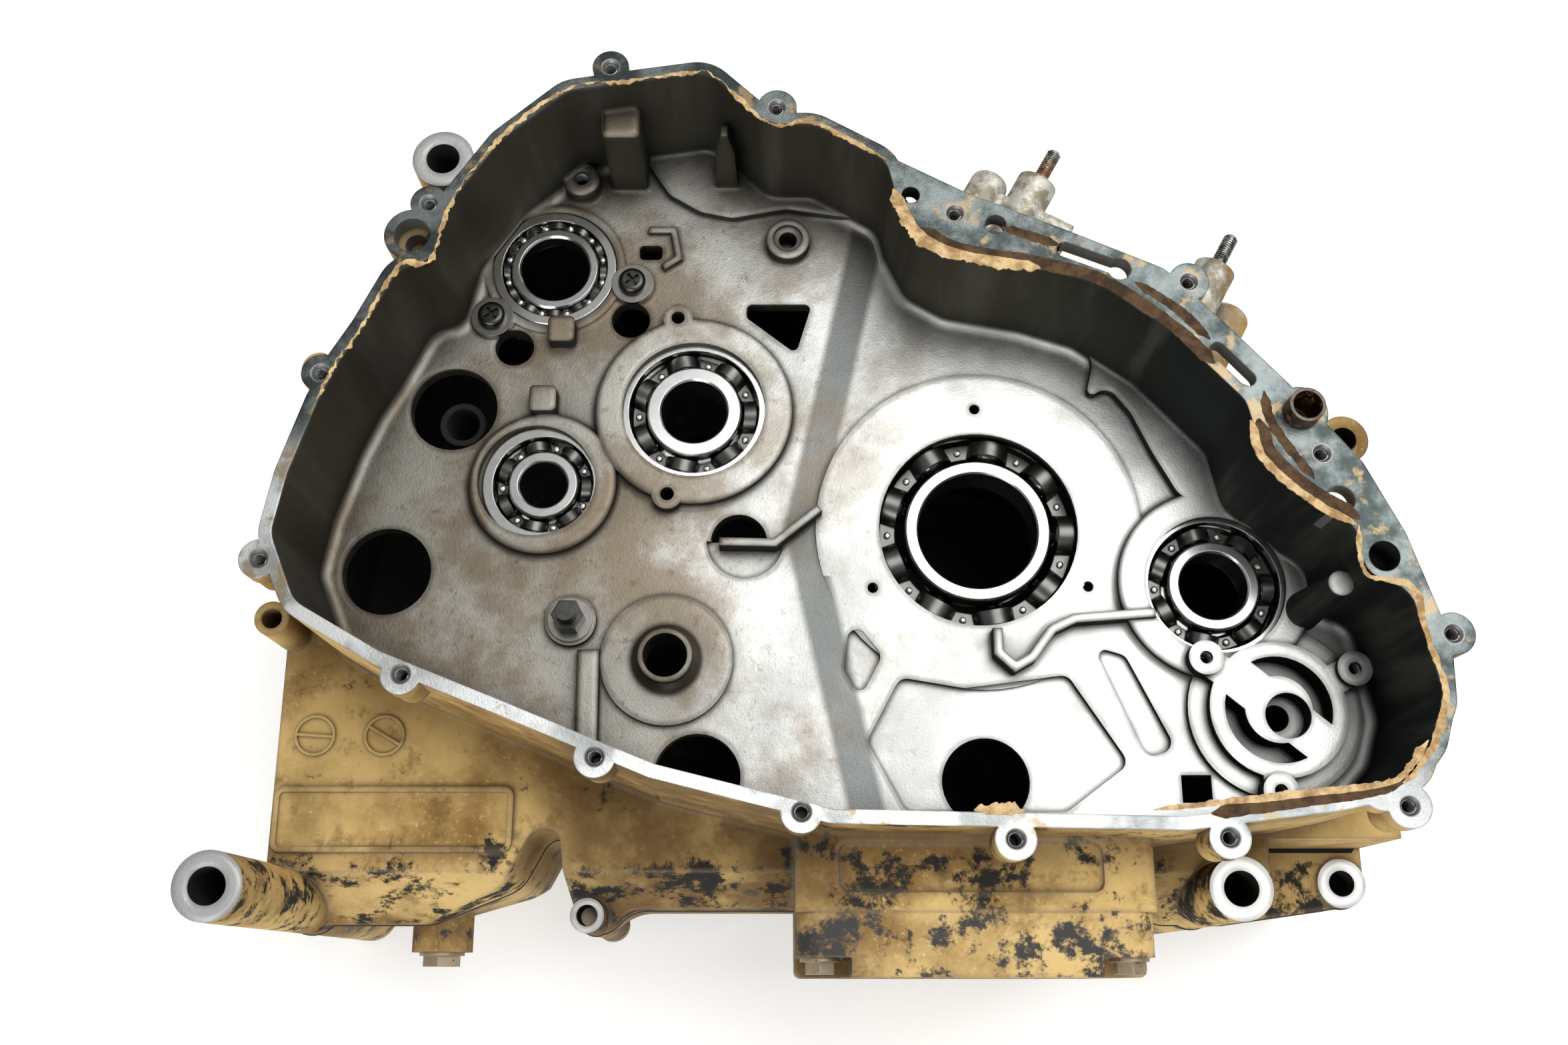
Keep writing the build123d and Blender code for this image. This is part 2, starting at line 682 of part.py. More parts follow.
def deck_cuts():
    """The cylinder's bore and its stud holes in the joint face."""
    cuts = [rod(0, bore_start, deck_distance + deck_clearance, 0, cylinder_bore)]
    low = deck_distance - cylinder_stud_depth
    for across in (-cylinder_stud_spread, cylinder_stud_spread):
        for up in (-cylinder_stud_spread, cylinder_stud_spread):
            cuts.append(rod(across, low, deck_distance + past, up, cylinder_stud_tap))
    return cuts


def bolt_cuts():
    """Bores of the mounting tubes and holes of the joint bolts, right through."""
    cuts = []
    for tube in mount_tubes:
        cuts.append(disc(tube.x, tube.y, tube.bore, tube.bottom - past, tube.top + past))
    for x, y, top in joint_bolts:
        cuts.append(disc(x, y, joint_bolt + joint_clearance, -far_rim, top + past))
    return cuts


def sloped(solid, height):
    """Leans the front and rear faces of a half in towards its floor."""
    sign = math.copysign(1, height)
    rise = abs(height) - front_lean_start
    front = Plane(
        origin=(0, front_edge, sign * front_lean_start),
        x_dir=(1, 0, 0),
        z_dir=(0, -rise, sign * front_lean),
    )
    rear = Plane(origin=(rear_edge, 0, 0), x_dir=(0, 1, 0), z_dir=(-abs(height), 0, sign * rear_lean))
    for face in (front, rear):
        solid -= face * Box(beyond, beyond, beyond, align=standing)
    return solid


def corner_block(wall, low, high):
    """The space over the low corner, enlarged by a wall's thickness."""
    left, rear, _ = low_corner
    size = 2 * abs(front_edge)
    return slab(Pos(left - wall + size / 2, rear + wall - size / 2) * Rectangle(size, size), low, high)


def upper_half():
    """The cover side half: chamber, floor, the case below it and the tubes."""
    inner = chamber_outline()
    outer = offset(inner, chamber_wall)
    body = rounded(body_points, body_corner)
    inside = offset(body, -case_wall)
    case = sloped(slab(body_outline(), half_sealant, body_height), body_height)
    case -= corner_block(0, low_corner[2], body_height + past)
    case += neck(half_sealant, neck_height)
    case += sump_block(half_sealant, sump_height)
    case += slab(outer, body_height - body_top, flange_height)
    case += slab(flange_outline(), flange_height - flange_plate, flange_height)
    round_places = [dowel_seat[:3], (*dowel_place, dowel_boss), (*blind_hole[:2], blind_hole[3])]
    round_places += flange_bolts
    bosses = [Pos(x, y) * Circle(radius - boss_step) for x, y, radius in round_places]
    boss_foot = flange_height - flange_tap_depth - boss_below_tap
    case += slab(Sketch() + bosses, boss_foot, flange_height - flange_plate / 2)
    case += side_castings() + rear_pad()
    chamber = slab(inner, floor_height, flange_height + past)
    case -= fillet(chamber.edges().group_by(Axis.Z)[0], floor_blend)
    x, y, width, depth = block_recess
    recess = Pos(x, y) * RectangleRounded(width, depth, recess_corner)
    case -= slab(recess, sump_height - recess_depth, sump_height + past)
    hollow = sloped(slab(inside, -past, body_height - body_top), body_height - body_top)
    case -= hollow - corner_block(case_wall, low_corner[2] - body_top, body_height)
    case -= [slab(inner & inside, 0, floor_height - floor_thickness)] + bed_cuts()
    castings = Part() + floor_castings() + bearing_bosses() + [pump_seat()]
    case += castings & slab(outer, 0, flange_height)
    case -= bearing_cuts() + pump_cuts() + floor_cuts() + flange_cuts()
    tubes = [disc(tube.x, tube.y, tube.outer, half_sealant, tube.top) for tube in mount_tubes]
    tubes += [disc(x, y, joint_boss, half_sealant, top) for x, y, top in joint_bolts]
    case += tubes
    low = side_boss_reach - side_stud_hold
    stud_holes = [rod(across, low, side_boss_reach + past, side_stud_height, side_stud_radius)
                  for across in side_stud_offsets]
    case -= deck_cuts() + sump_cuts() + bolt_cuts() + stud_holes
    return case


def lower_half():
    """The far side half: floor, bearing seats and the rim it lies on."""
    body = rounded(body_points, body_corner)
    inside = offset(body, -case_wall)
    bottom = -far_floor - far_floor_thickness
    case = sloped(slab(body_outline(), bottom, -half_sealant), bottom)
    case += neck(-neck_height, -half_sealant)
    case += sump_block(-sump_bottom, -half_sealant)
    case -= slab(inside, -far_floor, past)
    rim = offset(body, -rim_inset)
    case += slab(rim - offset(rim, -chamber_wall), -far_rim, bottom)
    x, y, _ = floor_holes[0]
    outer, bore, top = guide_tube
    bottoms = [disc(x, y, outer, -far_floor, top)]
    for item in bearings:
        housing = far_bore(item) + housing_wall
        bottoms.append(disc(item.x, item.y, housing, -far_floor - far_boss_depth, -far_floor + far_boss_rise))
    case += bottoms
    seats = [disc(x, y, bore, -far_floor + guide_floor, top + past)]
    for item in bearings:
        seats.append(disc(item.x, item.y, far_bore(item), -far_floor + far_seat_floor, 0))
        seats.append(disc(item.x, item.y, far_bore(item) - far_lip, -far_rim, 0))
    case -= seats
    tubes = [disc(tube.x, tube.y, tube.outer, tube.bottom, -half_sealant) for tube in mount_tubes]
    tubes += [disc(x, y, joint_boss, bottom, -half_sealant) for x, y, _ in joint_bolts]
    case += tubes + [drain_boss_solid()]
    middle = Plane(origin=(drain_x, drain_boss_y, drain_z), z_dir=(0, 1, 0))
    drain = middle * Cylinder(drain_plug + drain_clearance, 2 * drain_hold)
    case -= deck_cuts() + sump_cuts() + bolt_cuts() + [drain]
    return case


def far_bore(item):
    """Radius of the far half's seat on a bearing's axis."""
    return item.outside / 2 - far_seat_step


def drain_boss_solid():
    depth = abs(drain_boss_y - front_edge) + drain_boss_root
    middle = Plane(origin=(drain_x, drain_boss_y, drain_z), z_dir=(0, 1, 0))
    boss = middle * Cylinder(drain_boss, depth, align=standing)
    keep = Box(beyond, beyond, beyond, align=hanging)
    return boss & Pos(0, 0, -half_sealant) * keep


def sump_block(low, high):
    """The block under the crank that the sump cover closes."""
    width = sump_right - sump_left
    depth = sump_inner_y - sump_seam_y
    middle = Pos((sump_left + sump_right) / 2, (sump_inner_y + sump_seam_y) / 2, (low + high) / 2)
    return middle * Box(width, depth, high - low)


def rear_pad():
    """The plain pad with its raised rim, and the two round stamps."""
    x, y, width, depth = plain_pad
    outline = Pos(x, y) * RectangleRounded(width, depth, 2 * plain_pad_rim)
    recess = offset(outline, -plain_pad_rim)
    shapes = [slab(outline, body_height - past, body_height + plain_pad_rise / 2)]
    shapes.append(slab(outline - recess, body_height - past, body_height + plain_pad_rise))
    for x, y, turn in stamps:
        ring = Circle(stamp_radius) - Circle(stamp_radius - stamp_rim)
        bar = Rot(0, 0, turn) * Rectangle(2 * stamp_radius - stamp_rim, stamp_rim)
        shapes.append(slab(Pos(x, y) * (ring + bar), body_height - past, body_height + stamp_rise))
    return shapes


def side_castings():
    """Bosses, lugs and webs that stand out of the chamber's wall beside the cylinder."""
    shapes = [rod(across, side_boss_root, side_boss_reach, side_stud_height, side_boss_radius)
              for across in side_stud_offsets]
    for across, reach, height, radius in side_lugs:
        lug = rod(across, side_boss_root, reach, height, radius)
        shapes.append(fillet(lug.edges().group_by(Axis.Y)[-1], radius / 2))
    for across, width, reach, thickness in side_webs:
        base = along_cylinder(across, side_boss_root, side_stud_height)
        web = Box(width, thickness, reach - side_boss_root, align=standing)
        shapes.append(base * web)
    return shapes


def sump_cuts():
    """The sump's well, open at its cover and into the case, and its screw holes."""
    width = sump_right - sump_left - 2 * sump_wall - 2 * cover_bolt_x
    top = sump_height - sump_wall
    middle_height = body_height - body_top
    bottom = -sump_bottom + sump_wall
    centre = (sump_left + sump_right) / 2
    mouth = Pos(centre, sump_seam_y, (middle_height + bottom) / 2)
    pocket = Pos(centre, sump_seam_y, (top + middle_height - past) / 2)
    cuts = [mouth * Box(width, 2 * (sump_inner_y - sump_seam_y + past), middle_height - bottom),
            pocket * Box(width, 2 * sump_pocket, top - middle_height + past)]
    for x, z in cover_bolt_places():
        hole = Plane(origin=(x, sump_seam_y, z), z_dir=(0, 1, 0))
        cuts.append(hole * Cylinder(cover_bolt + cover_bolt_clearance, 2 * cover_bolt_hold))
    return cuts


def cover_bolt_places():
    """The sump cover's four screws, near its corners."""
    places = []
    for x in (sump_left + cover_bolt_x, sump_right - cover_bolt_x):
        for z in (-sump_bottom + cover_bolt_z, sump_height - cover_bolt_z):
            places.append((x, z))
    return places


def sump_cover():
    """A deep cover with rounded corners and a pillar round each screw."""
    width = sump_right - sump_left
    height = sump_height + sump_bottom
    x = (sump_left + sump_right) / 2
    z = (sump_height - sump_bottom) / 2
    plate = Plane(origin=(x, sump_seam_y, z), x_dir=(1, 0, 0), z_dir=(0, -1, 0))
    outline = RectangleRounded(width, height, cover_corner)
    cover = extrude(plate * outline, cover_depth)
    outer_face = cover.faces().sort_by(Axis.Y)[0]
    cover = fillet(outer_face.edges(), cover_corner / 3)
    inner = RectangleRounded(width - 4 * cover_bolt_x, height - 2 * sump_wall, cover_corner)
    cover -= extrude(plate * inner, cover_depth - sump_wall)
    for bolt_x, bolt_z in cover_bolt_places():
        hole = Plane(origin=(bolt_x, sump_seam_y, bolt_z), z_dir=(0, -1, 0))
        cover -= hole * Cylinder(cover_bolt + cover_bolt_clearance, 3 * cover_depth)
        notch = Box(2 * cover_notch, 2 * cover_notch, cover_depth, align=standing)
        cover -= hole * Pos(0, 0, cover_pillar) * notch
    return cover


def cap_screw(place, shank, length, head, head_height):
    """A hexagon head screw: its head stands out of the plane it is put in."""
    flange = Cylinder(head + head_flange, head_height * head_flange_share, align=standing)
    hexagonal = extrude(RegularPolygon(head * head_flats_share, 6, major_radius=False), head_height)
    body = Cylinder(shank, length, align=hanging)
    return place * (flange + hexagonal + body)


def pan_screw(x, y, top):
    """A cross-recess screw with a domed head, standing on its washer."""
    seat = top + washer_thickness
    head = disc(x, y, screw_head, seat, seat + screw_head_height)
    head = fillet(head.edges().group_by(Axis.Z)[-1], screw_head_height * dome_share)
    for turn in cross_turns:
        slot = Pos(x, y, seat + screw_head_height) * Rot(0, 0, turn)
        head -= slot * Box(cross_length, cross_width, 2 * cross_depth)
    return head + disc(x, y, screw_shank, top - screw_length + hole_spare, seat)


def sealant():
    """The thin layer of sealant between the halves, squeezed out a little all round."""
    body = rounded(body_points, body_corner)
    shape = offset(body_outline(), sealant_squeeze) - offset(body, -case_wall) + lobes()
    for tube in mount_tubes:
        shape -= Pos(tube.x, tube.y) * Circle(tube.bore)
    for x, y, _ in joint_bolts:
        shape -= Pos(x, y) * Circle(joint_bolt + joint_clearance)
    bore = Pos(deck_distance, 0) * Rectangle(2 * deck_distance, 2 * cylinder_bore)
    shape -= Rot(0, 0, cylinder_angle) * bore
    width = sump_right - sump_left - 2 * sump_wall - 2 * cover_bolt_x
    well = Rectangle(width, 2 * (sump_inner_y - sump_seam_y))
    shape -= Pos((sump_left + sump_right) / 2, sump_seam_y) * well
    return slab(shape, -half_sealant, half_sealant)


def inner_ring(item):
    """A bearing's inner ring with its ball groove."""
    groove = item.ball / 2 + running_gap
    pitch = (item.bore + item.outside) / 4
    ring = Cylinder(item.land / 2, item.width) - Cylinder(item.bore / 2, item.width)
    ring = chamfer(ring.edges().filter_by(GeomType.CIRCLE), ring_chamfer)
    return ring - Torus(pitch, groove)


def outer_ring(item):
    groove = item.ball / 2 + running_gap
    pitch = (item.bore + item.outside) / 4
    inside = 2 * pitch - item.land / 2
    ring = Cylinder(item.outside / 2, item.width) - Cylinder(inside, item.width)
    outer_edges = ring.edges().filter_by(GeomType.CIRCLE).group_by(SortBy.RADIUS)[-1]
    return chamfer(outer_edges, ring_chamfer) - Torus(pitch, groove)


def ball_set(item):
    pitch = (item.bore + item.outside) / 4
    return [Rot(0, 0, 360 * index / item.balls) * Pos(pitch, 0, 0) * Sphere(item.ball / 2)
            for index in range(item.balls)]


def spokes(item, radius, length, start=0.0):
    """Round bars that point out from a bearing's axis, one at each ball."""
    pitch = (item.bore + item.outside) / 4
    bars = []
    for index in range(item.balls):
        turn = Rot(0, 0, 360 * (index + start) / item.balls)
        bars.append(turn * Pos(pitch, 0, 0) * Rot(0, 90, 0) * Cylinder(radius, length))
    return bars


def cage(item):
    """A pressed steel cage: a ribbon that arches over each ball, with a rivet between."""
    pitch = (item.bore + item.outside) / 4
    width = cage_share * item.ball
    pocket = item.ball / 2 + running_gap
    reach = pocket + cage_sheet
    inner = pitch - width / 2
    outer = pitch + width / 2
    ribbon = Cylinder(outer, 2 * cage_sheet) - Cylinder(inner, 2 * cage_sheet)
    ribbon += spokes(item, reach, 2 * width)
    ribbon &= Cylinder(outer, 3 * reach) - Cylinder(inner, 3 * reach)
    ribbon -= spokes(item, pocket, 3 * width)
    rivets = []
    for index in range(item.balls):
        turn = Rot(0, 0, 360 * (index + 0.5) / item.balls)
        rivets.append(turn * Pos(pitch, 0, 0) * Cylinder(rivet_radius, 2 * cage_sheet + rivet_stand))
    return ribbon + rivets


def gasket():
    """The torn strip of the cover's gasket that is left on the wide part of the flange."""
    strip = offset(chamber_outline(), gasket_width) - chamber_outline()
    strip &= rounded(wide_flange_points, wide_flange_corner)
    strip &= Pos(*gasket_centre) * Rectangle(*gasket_size)
    return slab(strip, flange_height, flange_height + gasket_thickness)


def side_studs():
    low = side_boss_reach - side_stud_hold
    high = side_boss_reach + side_stud_length
    studs = []
    for across in side_stud_offsets:
        stud = rod(across, low, high, side_stud_height, side_stud_radius)
        studs.append(chamfer(stud.edges().group_by(Axis.Y)[-1], stud_chamfer))
    return studs


os.makedirs("parts", exist_ok=True)


def save(name, shapes):
    """Lowers a piece to the part's frame and writes it under its name."""
    solids = shapes if isinstance(shapes, list) else [shapes]
    lowered = [Pos(0, 0, -crank_middle) * shape for shape in solids]
    whole = lowered[0] if len(lowered) == 1 else Compound(children=lowered)
    export_step(whole, f"parts/{name}.step")


save("upper_case", upper_half())
save("lower_case", lower_half())
save("case_sealant", sealant())
save("sump_cover", sump_cover())
cover_screws = []
for x, z in cover_bolt_places():
    head_plane = Plane(origin=(x, sump_seam_y - cover_pillar, z), z_dir=(0, -1, 0))
    length = cover_pillar + cover_bolt_hold - hole_spare
    cover_screws.append(cap_screw(head_plane, cover_bolt, length, cover_head, cover_head_height))
save("sump_cover_bolts", cover_screws)
drain_plane = Plane(origin=(drain_x, drain_boss_y, drain_z), z_dir=(0, -1, 0))
save("drain_plug", cap_screw(drain_plane, drain_plug, drain_hold - hole_spare, drain_head, drain_head_height))
bolts = []
for x, y, top in joint_bolts:
    head_plane = Plane(origin=(x, y, -far_floor - far_floor_thickness), z_dir=(0, 0, -1))
    length = far_floor + far_floor_thickness + joint_thread
    bolts.append(cap_screw(head_plane, joint_bolt, length, joint_head, joint_head_height))
save("case_bolts", bolts)
for item in bearings:
    middle = Pos(item.x, item.y, face_height(item) - item.width / 2)
    save(item.name + "_outer_ring", middle * outer_ring(item))
    save(item.name + "_inner_ring", middle * inner_ring(item))
    save(item.name + "_cage", middle * cage(item))
    save(item.name + "_balls", [middle * ball for ball in ball_set(item)])
boss_top = floor_height + gearbox_output.rise
save("retaining_screws", [pan_screw(x, y, boss_top) for x, y in retaining_screws])
washers = []
for x, y in retaining_screws:
    washer = disc(x, y, washer_radius, boss_top, boss_top + washer_thickness)
    washers.append(washer - disc(x, y, screw_shank + screw_clearance, 0, flange_height))
save("retaining_washers", washers)
pin_base = floor_height + pin_rise
washer = disc(*pin_place, pin_washer, pin_base, pin_base + washer_thickness)
save("pivot_washer", washer - disc(*pin_place, pin_radius + screw_clearance, 0, flange_height))
pin_seat = pin_base + washer_thickness
pin = disc(*pin_place, pin_radius, pin_base - pin_hold + hole_spare, pin_base + pin_height)
pin += hexagon(*pin_place, pin_hex, pin_seat, pin_seat + pin_hex_height)
save("pivot_pin", pin)
x, y = dowel_place
dowel = disc(x, y, dowel_outer, flange_height - dowel_hold, flange_height + dowel_stand)
save("cover_dowel", dowel - disc(x, y, dowel_bore, 0, 2 * flange_height))
save("side_studs", side_studs())
save("gasket_remains", gasket())
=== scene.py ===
import bpy
import math
from mathutils import Matrix, Vector, noise


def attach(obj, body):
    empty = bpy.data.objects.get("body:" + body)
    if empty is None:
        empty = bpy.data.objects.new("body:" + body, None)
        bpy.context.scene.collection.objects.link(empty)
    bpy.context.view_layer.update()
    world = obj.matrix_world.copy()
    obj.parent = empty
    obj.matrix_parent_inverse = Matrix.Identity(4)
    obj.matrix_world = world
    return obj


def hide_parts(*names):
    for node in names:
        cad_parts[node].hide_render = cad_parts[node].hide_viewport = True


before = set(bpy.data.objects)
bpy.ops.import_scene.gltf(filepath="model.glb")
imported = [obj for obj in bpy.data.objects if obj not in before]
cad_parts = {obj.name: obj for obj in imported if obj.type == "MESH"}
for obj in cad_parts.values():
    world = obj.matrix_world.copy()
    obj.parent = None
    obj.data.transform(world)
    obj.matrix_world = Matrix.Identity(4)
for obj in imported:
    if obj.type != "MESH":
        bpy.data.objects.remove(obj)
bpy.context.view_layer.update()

MM = 0.001

# Heights of the case, counted from the crank bearing's middle, in millimetres
flange_top = 76.5
floor_top = 11.5
floor_underside = 4.0
joint_plane = -53.5
far_floor_top = -60.0
rest_height = -151.5

# The cylinder deck: the way it looks in degrees from X, its distance, and where its studs stand
deck_angle = 61.0
deck_distance = 133.5
stud_offsets = (-45.5, 36.0)
stud_height = joint_plane + 105.0

# Rays per point that look for edges and corners in the materials
edge_samples = 3

# The chamber's edge with the middle of its wall, as straight runs that bulge outwards
chamber_hull = [
    (-276.0, -21.0), (-264.0, -49.5), (-184.0, -87.0), (-128.0, -109.5), (-64.0, -126.0), (61.0, -128.5),
    (141.0, -117.0), (154.0, -101.0), (160.5, -81.0), (153.0, -41.0), (134.0, -5.0),
    (98.0, 40.0), (44.0, 90.0), (-40.0, 141.0), (-112.0, 180.0), (-172.0, 170.5),
    (-198.0, 147.0), (-222.0, 112.0), (-236.0, 89.5), (-262.0, 33.0), (-272.0, 2.5),
]

# Cover flange screw holes
flange_holes = [
    (-223.0, 116.5), (-152.5, 179.0), (-84.0, 160.0), (-13.0, 112.0), (78.0, 82.0),
    (123.0, 10.5), (164.0, -59.5), (140.5, -122.0), (76.0, -133.0), (0.5, -133.5),
    (-75.0, -124.0), (-149.0, -104.5), (-220.5, -74.5), (-276.5, -31.0), (-260.0, 43.5),
]

# Machined ends of the mounting tubes and of a joint bolt's boss: x, y, radius
bare_ends = [
    (-283.0, -149.5, 12.5), (-220.5, 140.5, 12.5), (93.0, -147.5, 12.2), (158.0, -141.0, 10.3),
    (-161.5, -155.5, 7.0),
]
# Deep bores painted black as shade: x, y, radius
dark_bores = [
    (-283.0, -149.5, 6.6), (-220.5, 140.5, 6.6), (93.0, -147.5, 6.6), (158.0, -141.0, 5.3),
    (159.0, 41.5, 5.3), (-161.5, -155.5, 4.15), (142.0, -30.0, 5.7), (-30.5, 120.0, 3.5),
]
# Tapped holes: x, y, height of their mouth, hole radius
core_radius = 2.6
thread_pitch = 1.0
tapped_holes = [(x, y, flange_top, core_radius) for x, y in flange_holes] + [
    (-171.0, 160.0, 19.5, 3.4), (88.0, -57.0, 22.5, core_radius),
    (147.0, -61.5, 22.5, core_radius), (113.0, -110.0, 22.5, core_radius),
]

# Holes and slots through the flange, whose walls are bare: x, y, radius
flange_ways = [
    (-229.0, 102.5, 7.6), (3.0, 107.0, 4.6), (-30.5, 120.0, 3.9), (128.0, -8.0, 5.9),
    (32.0, 95.2, 4.5), (37.0, 93.2, 4.5), (42.0, 91.2, 4.5), (47.0, 89.2, 4.5), (51.0, 87.5, 5.2),
    (88.0, 51.8, 4.6), (92.2, 47.0, 4.6), (96.5, 42.2, 4.6),
]
# The chamber's edge at the flange, anticlockwise from its left corner
chamber_edge = [
    (-273.0, -21.0), (-262.0, -47.0), (-229.0, -66.0), (-184.0, -84.0), (-128.0, -107.0),
    (-64.0, -123.0), (61.0, -125.5), (114.0, -119.0), (139.0, -114.0), (151.5, -100.0),
    (157.5, -81.0), (153.0, -57.0), (150.0, -42.0), (134.0, -37.0), (133.0, -18.0),
    (117.0, -8.0), (101.0, 8.0), (96.0, 32.0), (68.0, 63.0), (43.0, 81.0), (20.0, 88.5),
    (-12.0, 94.5), (-28.0, 104.0), (-37.0, 123.0), (-40.0, 136.0), (-69.0, 152.5),
    (-87.0, 152.5), (-113.0, 177.0), (-143.0, 172.5), (-170.0, 168.0), (-196.0, 145.0),
    (-214.0, 118.0), (-220.5, 91.0), (-233.0, 88.5), (-245.0, 63.0), (-253.0, 49.0),
    (-260.0, 32.0), (-269.0, 2.5),
]

# What is left of the gasket: name, line, inner and outer offset, raggedness inside and outside, finish
torn_strips = [
    ("gasket_rear_rim", chamber_edge[27:37], -0.5, 0.9, 1.5, 0.9, "tan fibre"),
    ("gasket_top_rim", chamber_edge[24:28], -0.5, 1.2, 1.2, 0.8, "tan fibre"),
    ("gasket_wide_inner", [(84.0, 46.0)] + chamber_edge[18:23], -1.0, 4.4, 0.5, 0.35, "oiled fibre"),
    ("gasket_wide_torn", chamber_edge[20:24], -3.0, 1.6, 1.6, 0.4, "tan fibre"),
    ("gasket_front_inner", chamber_edge[14:17] + [(97.5, 24.0)], -0.6, 6.2, 0.8, 0.4, "oiled fibre"),
    ("gasket_front_edge", chamber_edge[14:17] + [(97.5, 24.0)], -1.4, 1.6, 0.9, 0.4, "tan fibre"),
    ("gasket_front_rim", chamber_edge[8:15], -0.8, 1.7, 0.7, 0.7, "tan fibre"),
    ("gasket_lower_band", [(70.0, -124.8)] + chamber_edge[7:9], -2.6, 2.0, 0.4, 0.4, "oiled fibre"),
    ("gasket_lower_edge", [(50.0, -125.4)] + chamber_edge[7:10], -3.6, -1.2, 0.8, 0.3, "tan fibre"),
    ("gasket_lower_flap", [(-14.0, -124.0), (-5.0, -124.2), (4.0, -124.4)], -3.0, 0.6, 2.0, 0.6, "tan fibre"),
    ("gasket_rail_rear", [(28.0, 97.5), (17.0, 101.5), (5.0, 105.5)], -1.9, 1.9, 0.5, 0.5, "oiled fibre"),
    ("gasket_rail_middle", [(84.5, 57.5), (72.0, 70.5), (57.0, 82.0)], -1.9, 1.9, 0.5, 0.5, "oiled fibre"),
    ("gasket_rail_front", [(119.0, 0.0), (111.0, 12.0), (104.5, 24.0), (103.5, 36.0)], -1.9, 1.9, 0.6, 0.6,
     "oiled fibre"),
]

# Bearings: name, x, y, height of their middle, ball circle radius, number of balls
bearings = [
    ("crank", 0.0, 0.0, 0.0, 37.5, 9), ("gearbox_input", -119.5, 51.5, 5.5, 24.0, 7),
    ("gearbox_output", -182.0, 119.5, 8.0, 21.25, 12), ("reverse_shaft", -182.5, 19.0, 6.0, 18.0, 7),
    ("balancer", 96.0, -25.0, 5.0, 23.0, 7),
]


# Building blocks for materials

def add_node(tree, kind, inputs=None, **settings):
    """One node with its settings, fed by values or by other nodes' sockets."""
    made = tree.nodes.new(kind)
    for name, value in settings.items():
        setattr(made, name, value)
    for key, value in (inputs or {}).items():
        if isinstance(value, bpy.types.NodeSocket):
            tree.links.new(value, made.inputs[key])
        else:
            made.inputs[key].default_value = value
    return made


def sum_of(tree, operation, first, second=0.0, clamp=False):
    """A Math node's result."""
    made = add_node(tree, "ShaderNodeMath", {0: first, 1: second}, operation=operation, use_clamp=clamp)
    return made.outputs[0]


def blend_colours(tree, share, under, over):
    """Two colours blended by a mask."""
    made = tree.nodes.new("ShaderNodeMix")
    made.data_type = "RGBA"
    for socket, value in ((made.inputs[0], share), (made.inputs[6], under), (made.inputs[7], over)):
        if isinstance(value, bpy.types.NodeSocket):
            tree.links.new(value, socket)
        else:
            socket.default_value = value
    return made.outputs[2]


def between(tree, value, low, high, start=0.0, end=1.0):
    """A value spread smoothly from one range onto another."""
    made = add_node(tree, "ShaderNodeMapRange", {0: value, 1: low, 2: high, 3: start, 4: end},
                    interpolation_type="SMOOTHSTEP")
    return made.outputs[0]


def cloud(tree, place, scale, detail=4.0, rough=0.55):
    """Soft noise at a number of lumps per metre."""
    made = add_node(tree, "ShaderNodeTexNoise",
                    {"Vector": place, "Scale": scale, "Detail": detail, "Roughness": rough})
    return made.outputs[0]


def rgb(red, green, blue):
    """A colour as the shaders' sockets take it."""
    return (red, green, blue, 1.0)


black = rgb(0.012, 0.012, 0.011)


def new_group(name, inputs, outputs):
    """An empty node group with its named sockets."""
    group = bpy.data.node_groups.new(name, "ShaderNodeTree")
    for title, kind, value in inputs:
        socket = group.interface.new_socket(title, in_out="INPUT", socket_type=kind)
        socket.default_value = value
    for title, kind in outputs:
        group.interface.new_socket(title, in_out="OUTPUT", socket_type=kind)
    start = group.nodes.new("NodeGroupInput")
    end = group.nodes.new("NodeGroupOutput")
    return group, start, end


def use_group(tree, group, **values):
    """A group placed in a material with its own values."""
    made = tree.nodes.new("ShaderNodeGroup")
    made.node_tree = group
    for title, value in values.items():
        socket = made.inputs[title.replace("_", " ")]
        if isinstance(value, bpy.types.NodeSocket):
            tree.links.new(value, socket)
        else:
            socket.default_value = value
    return made


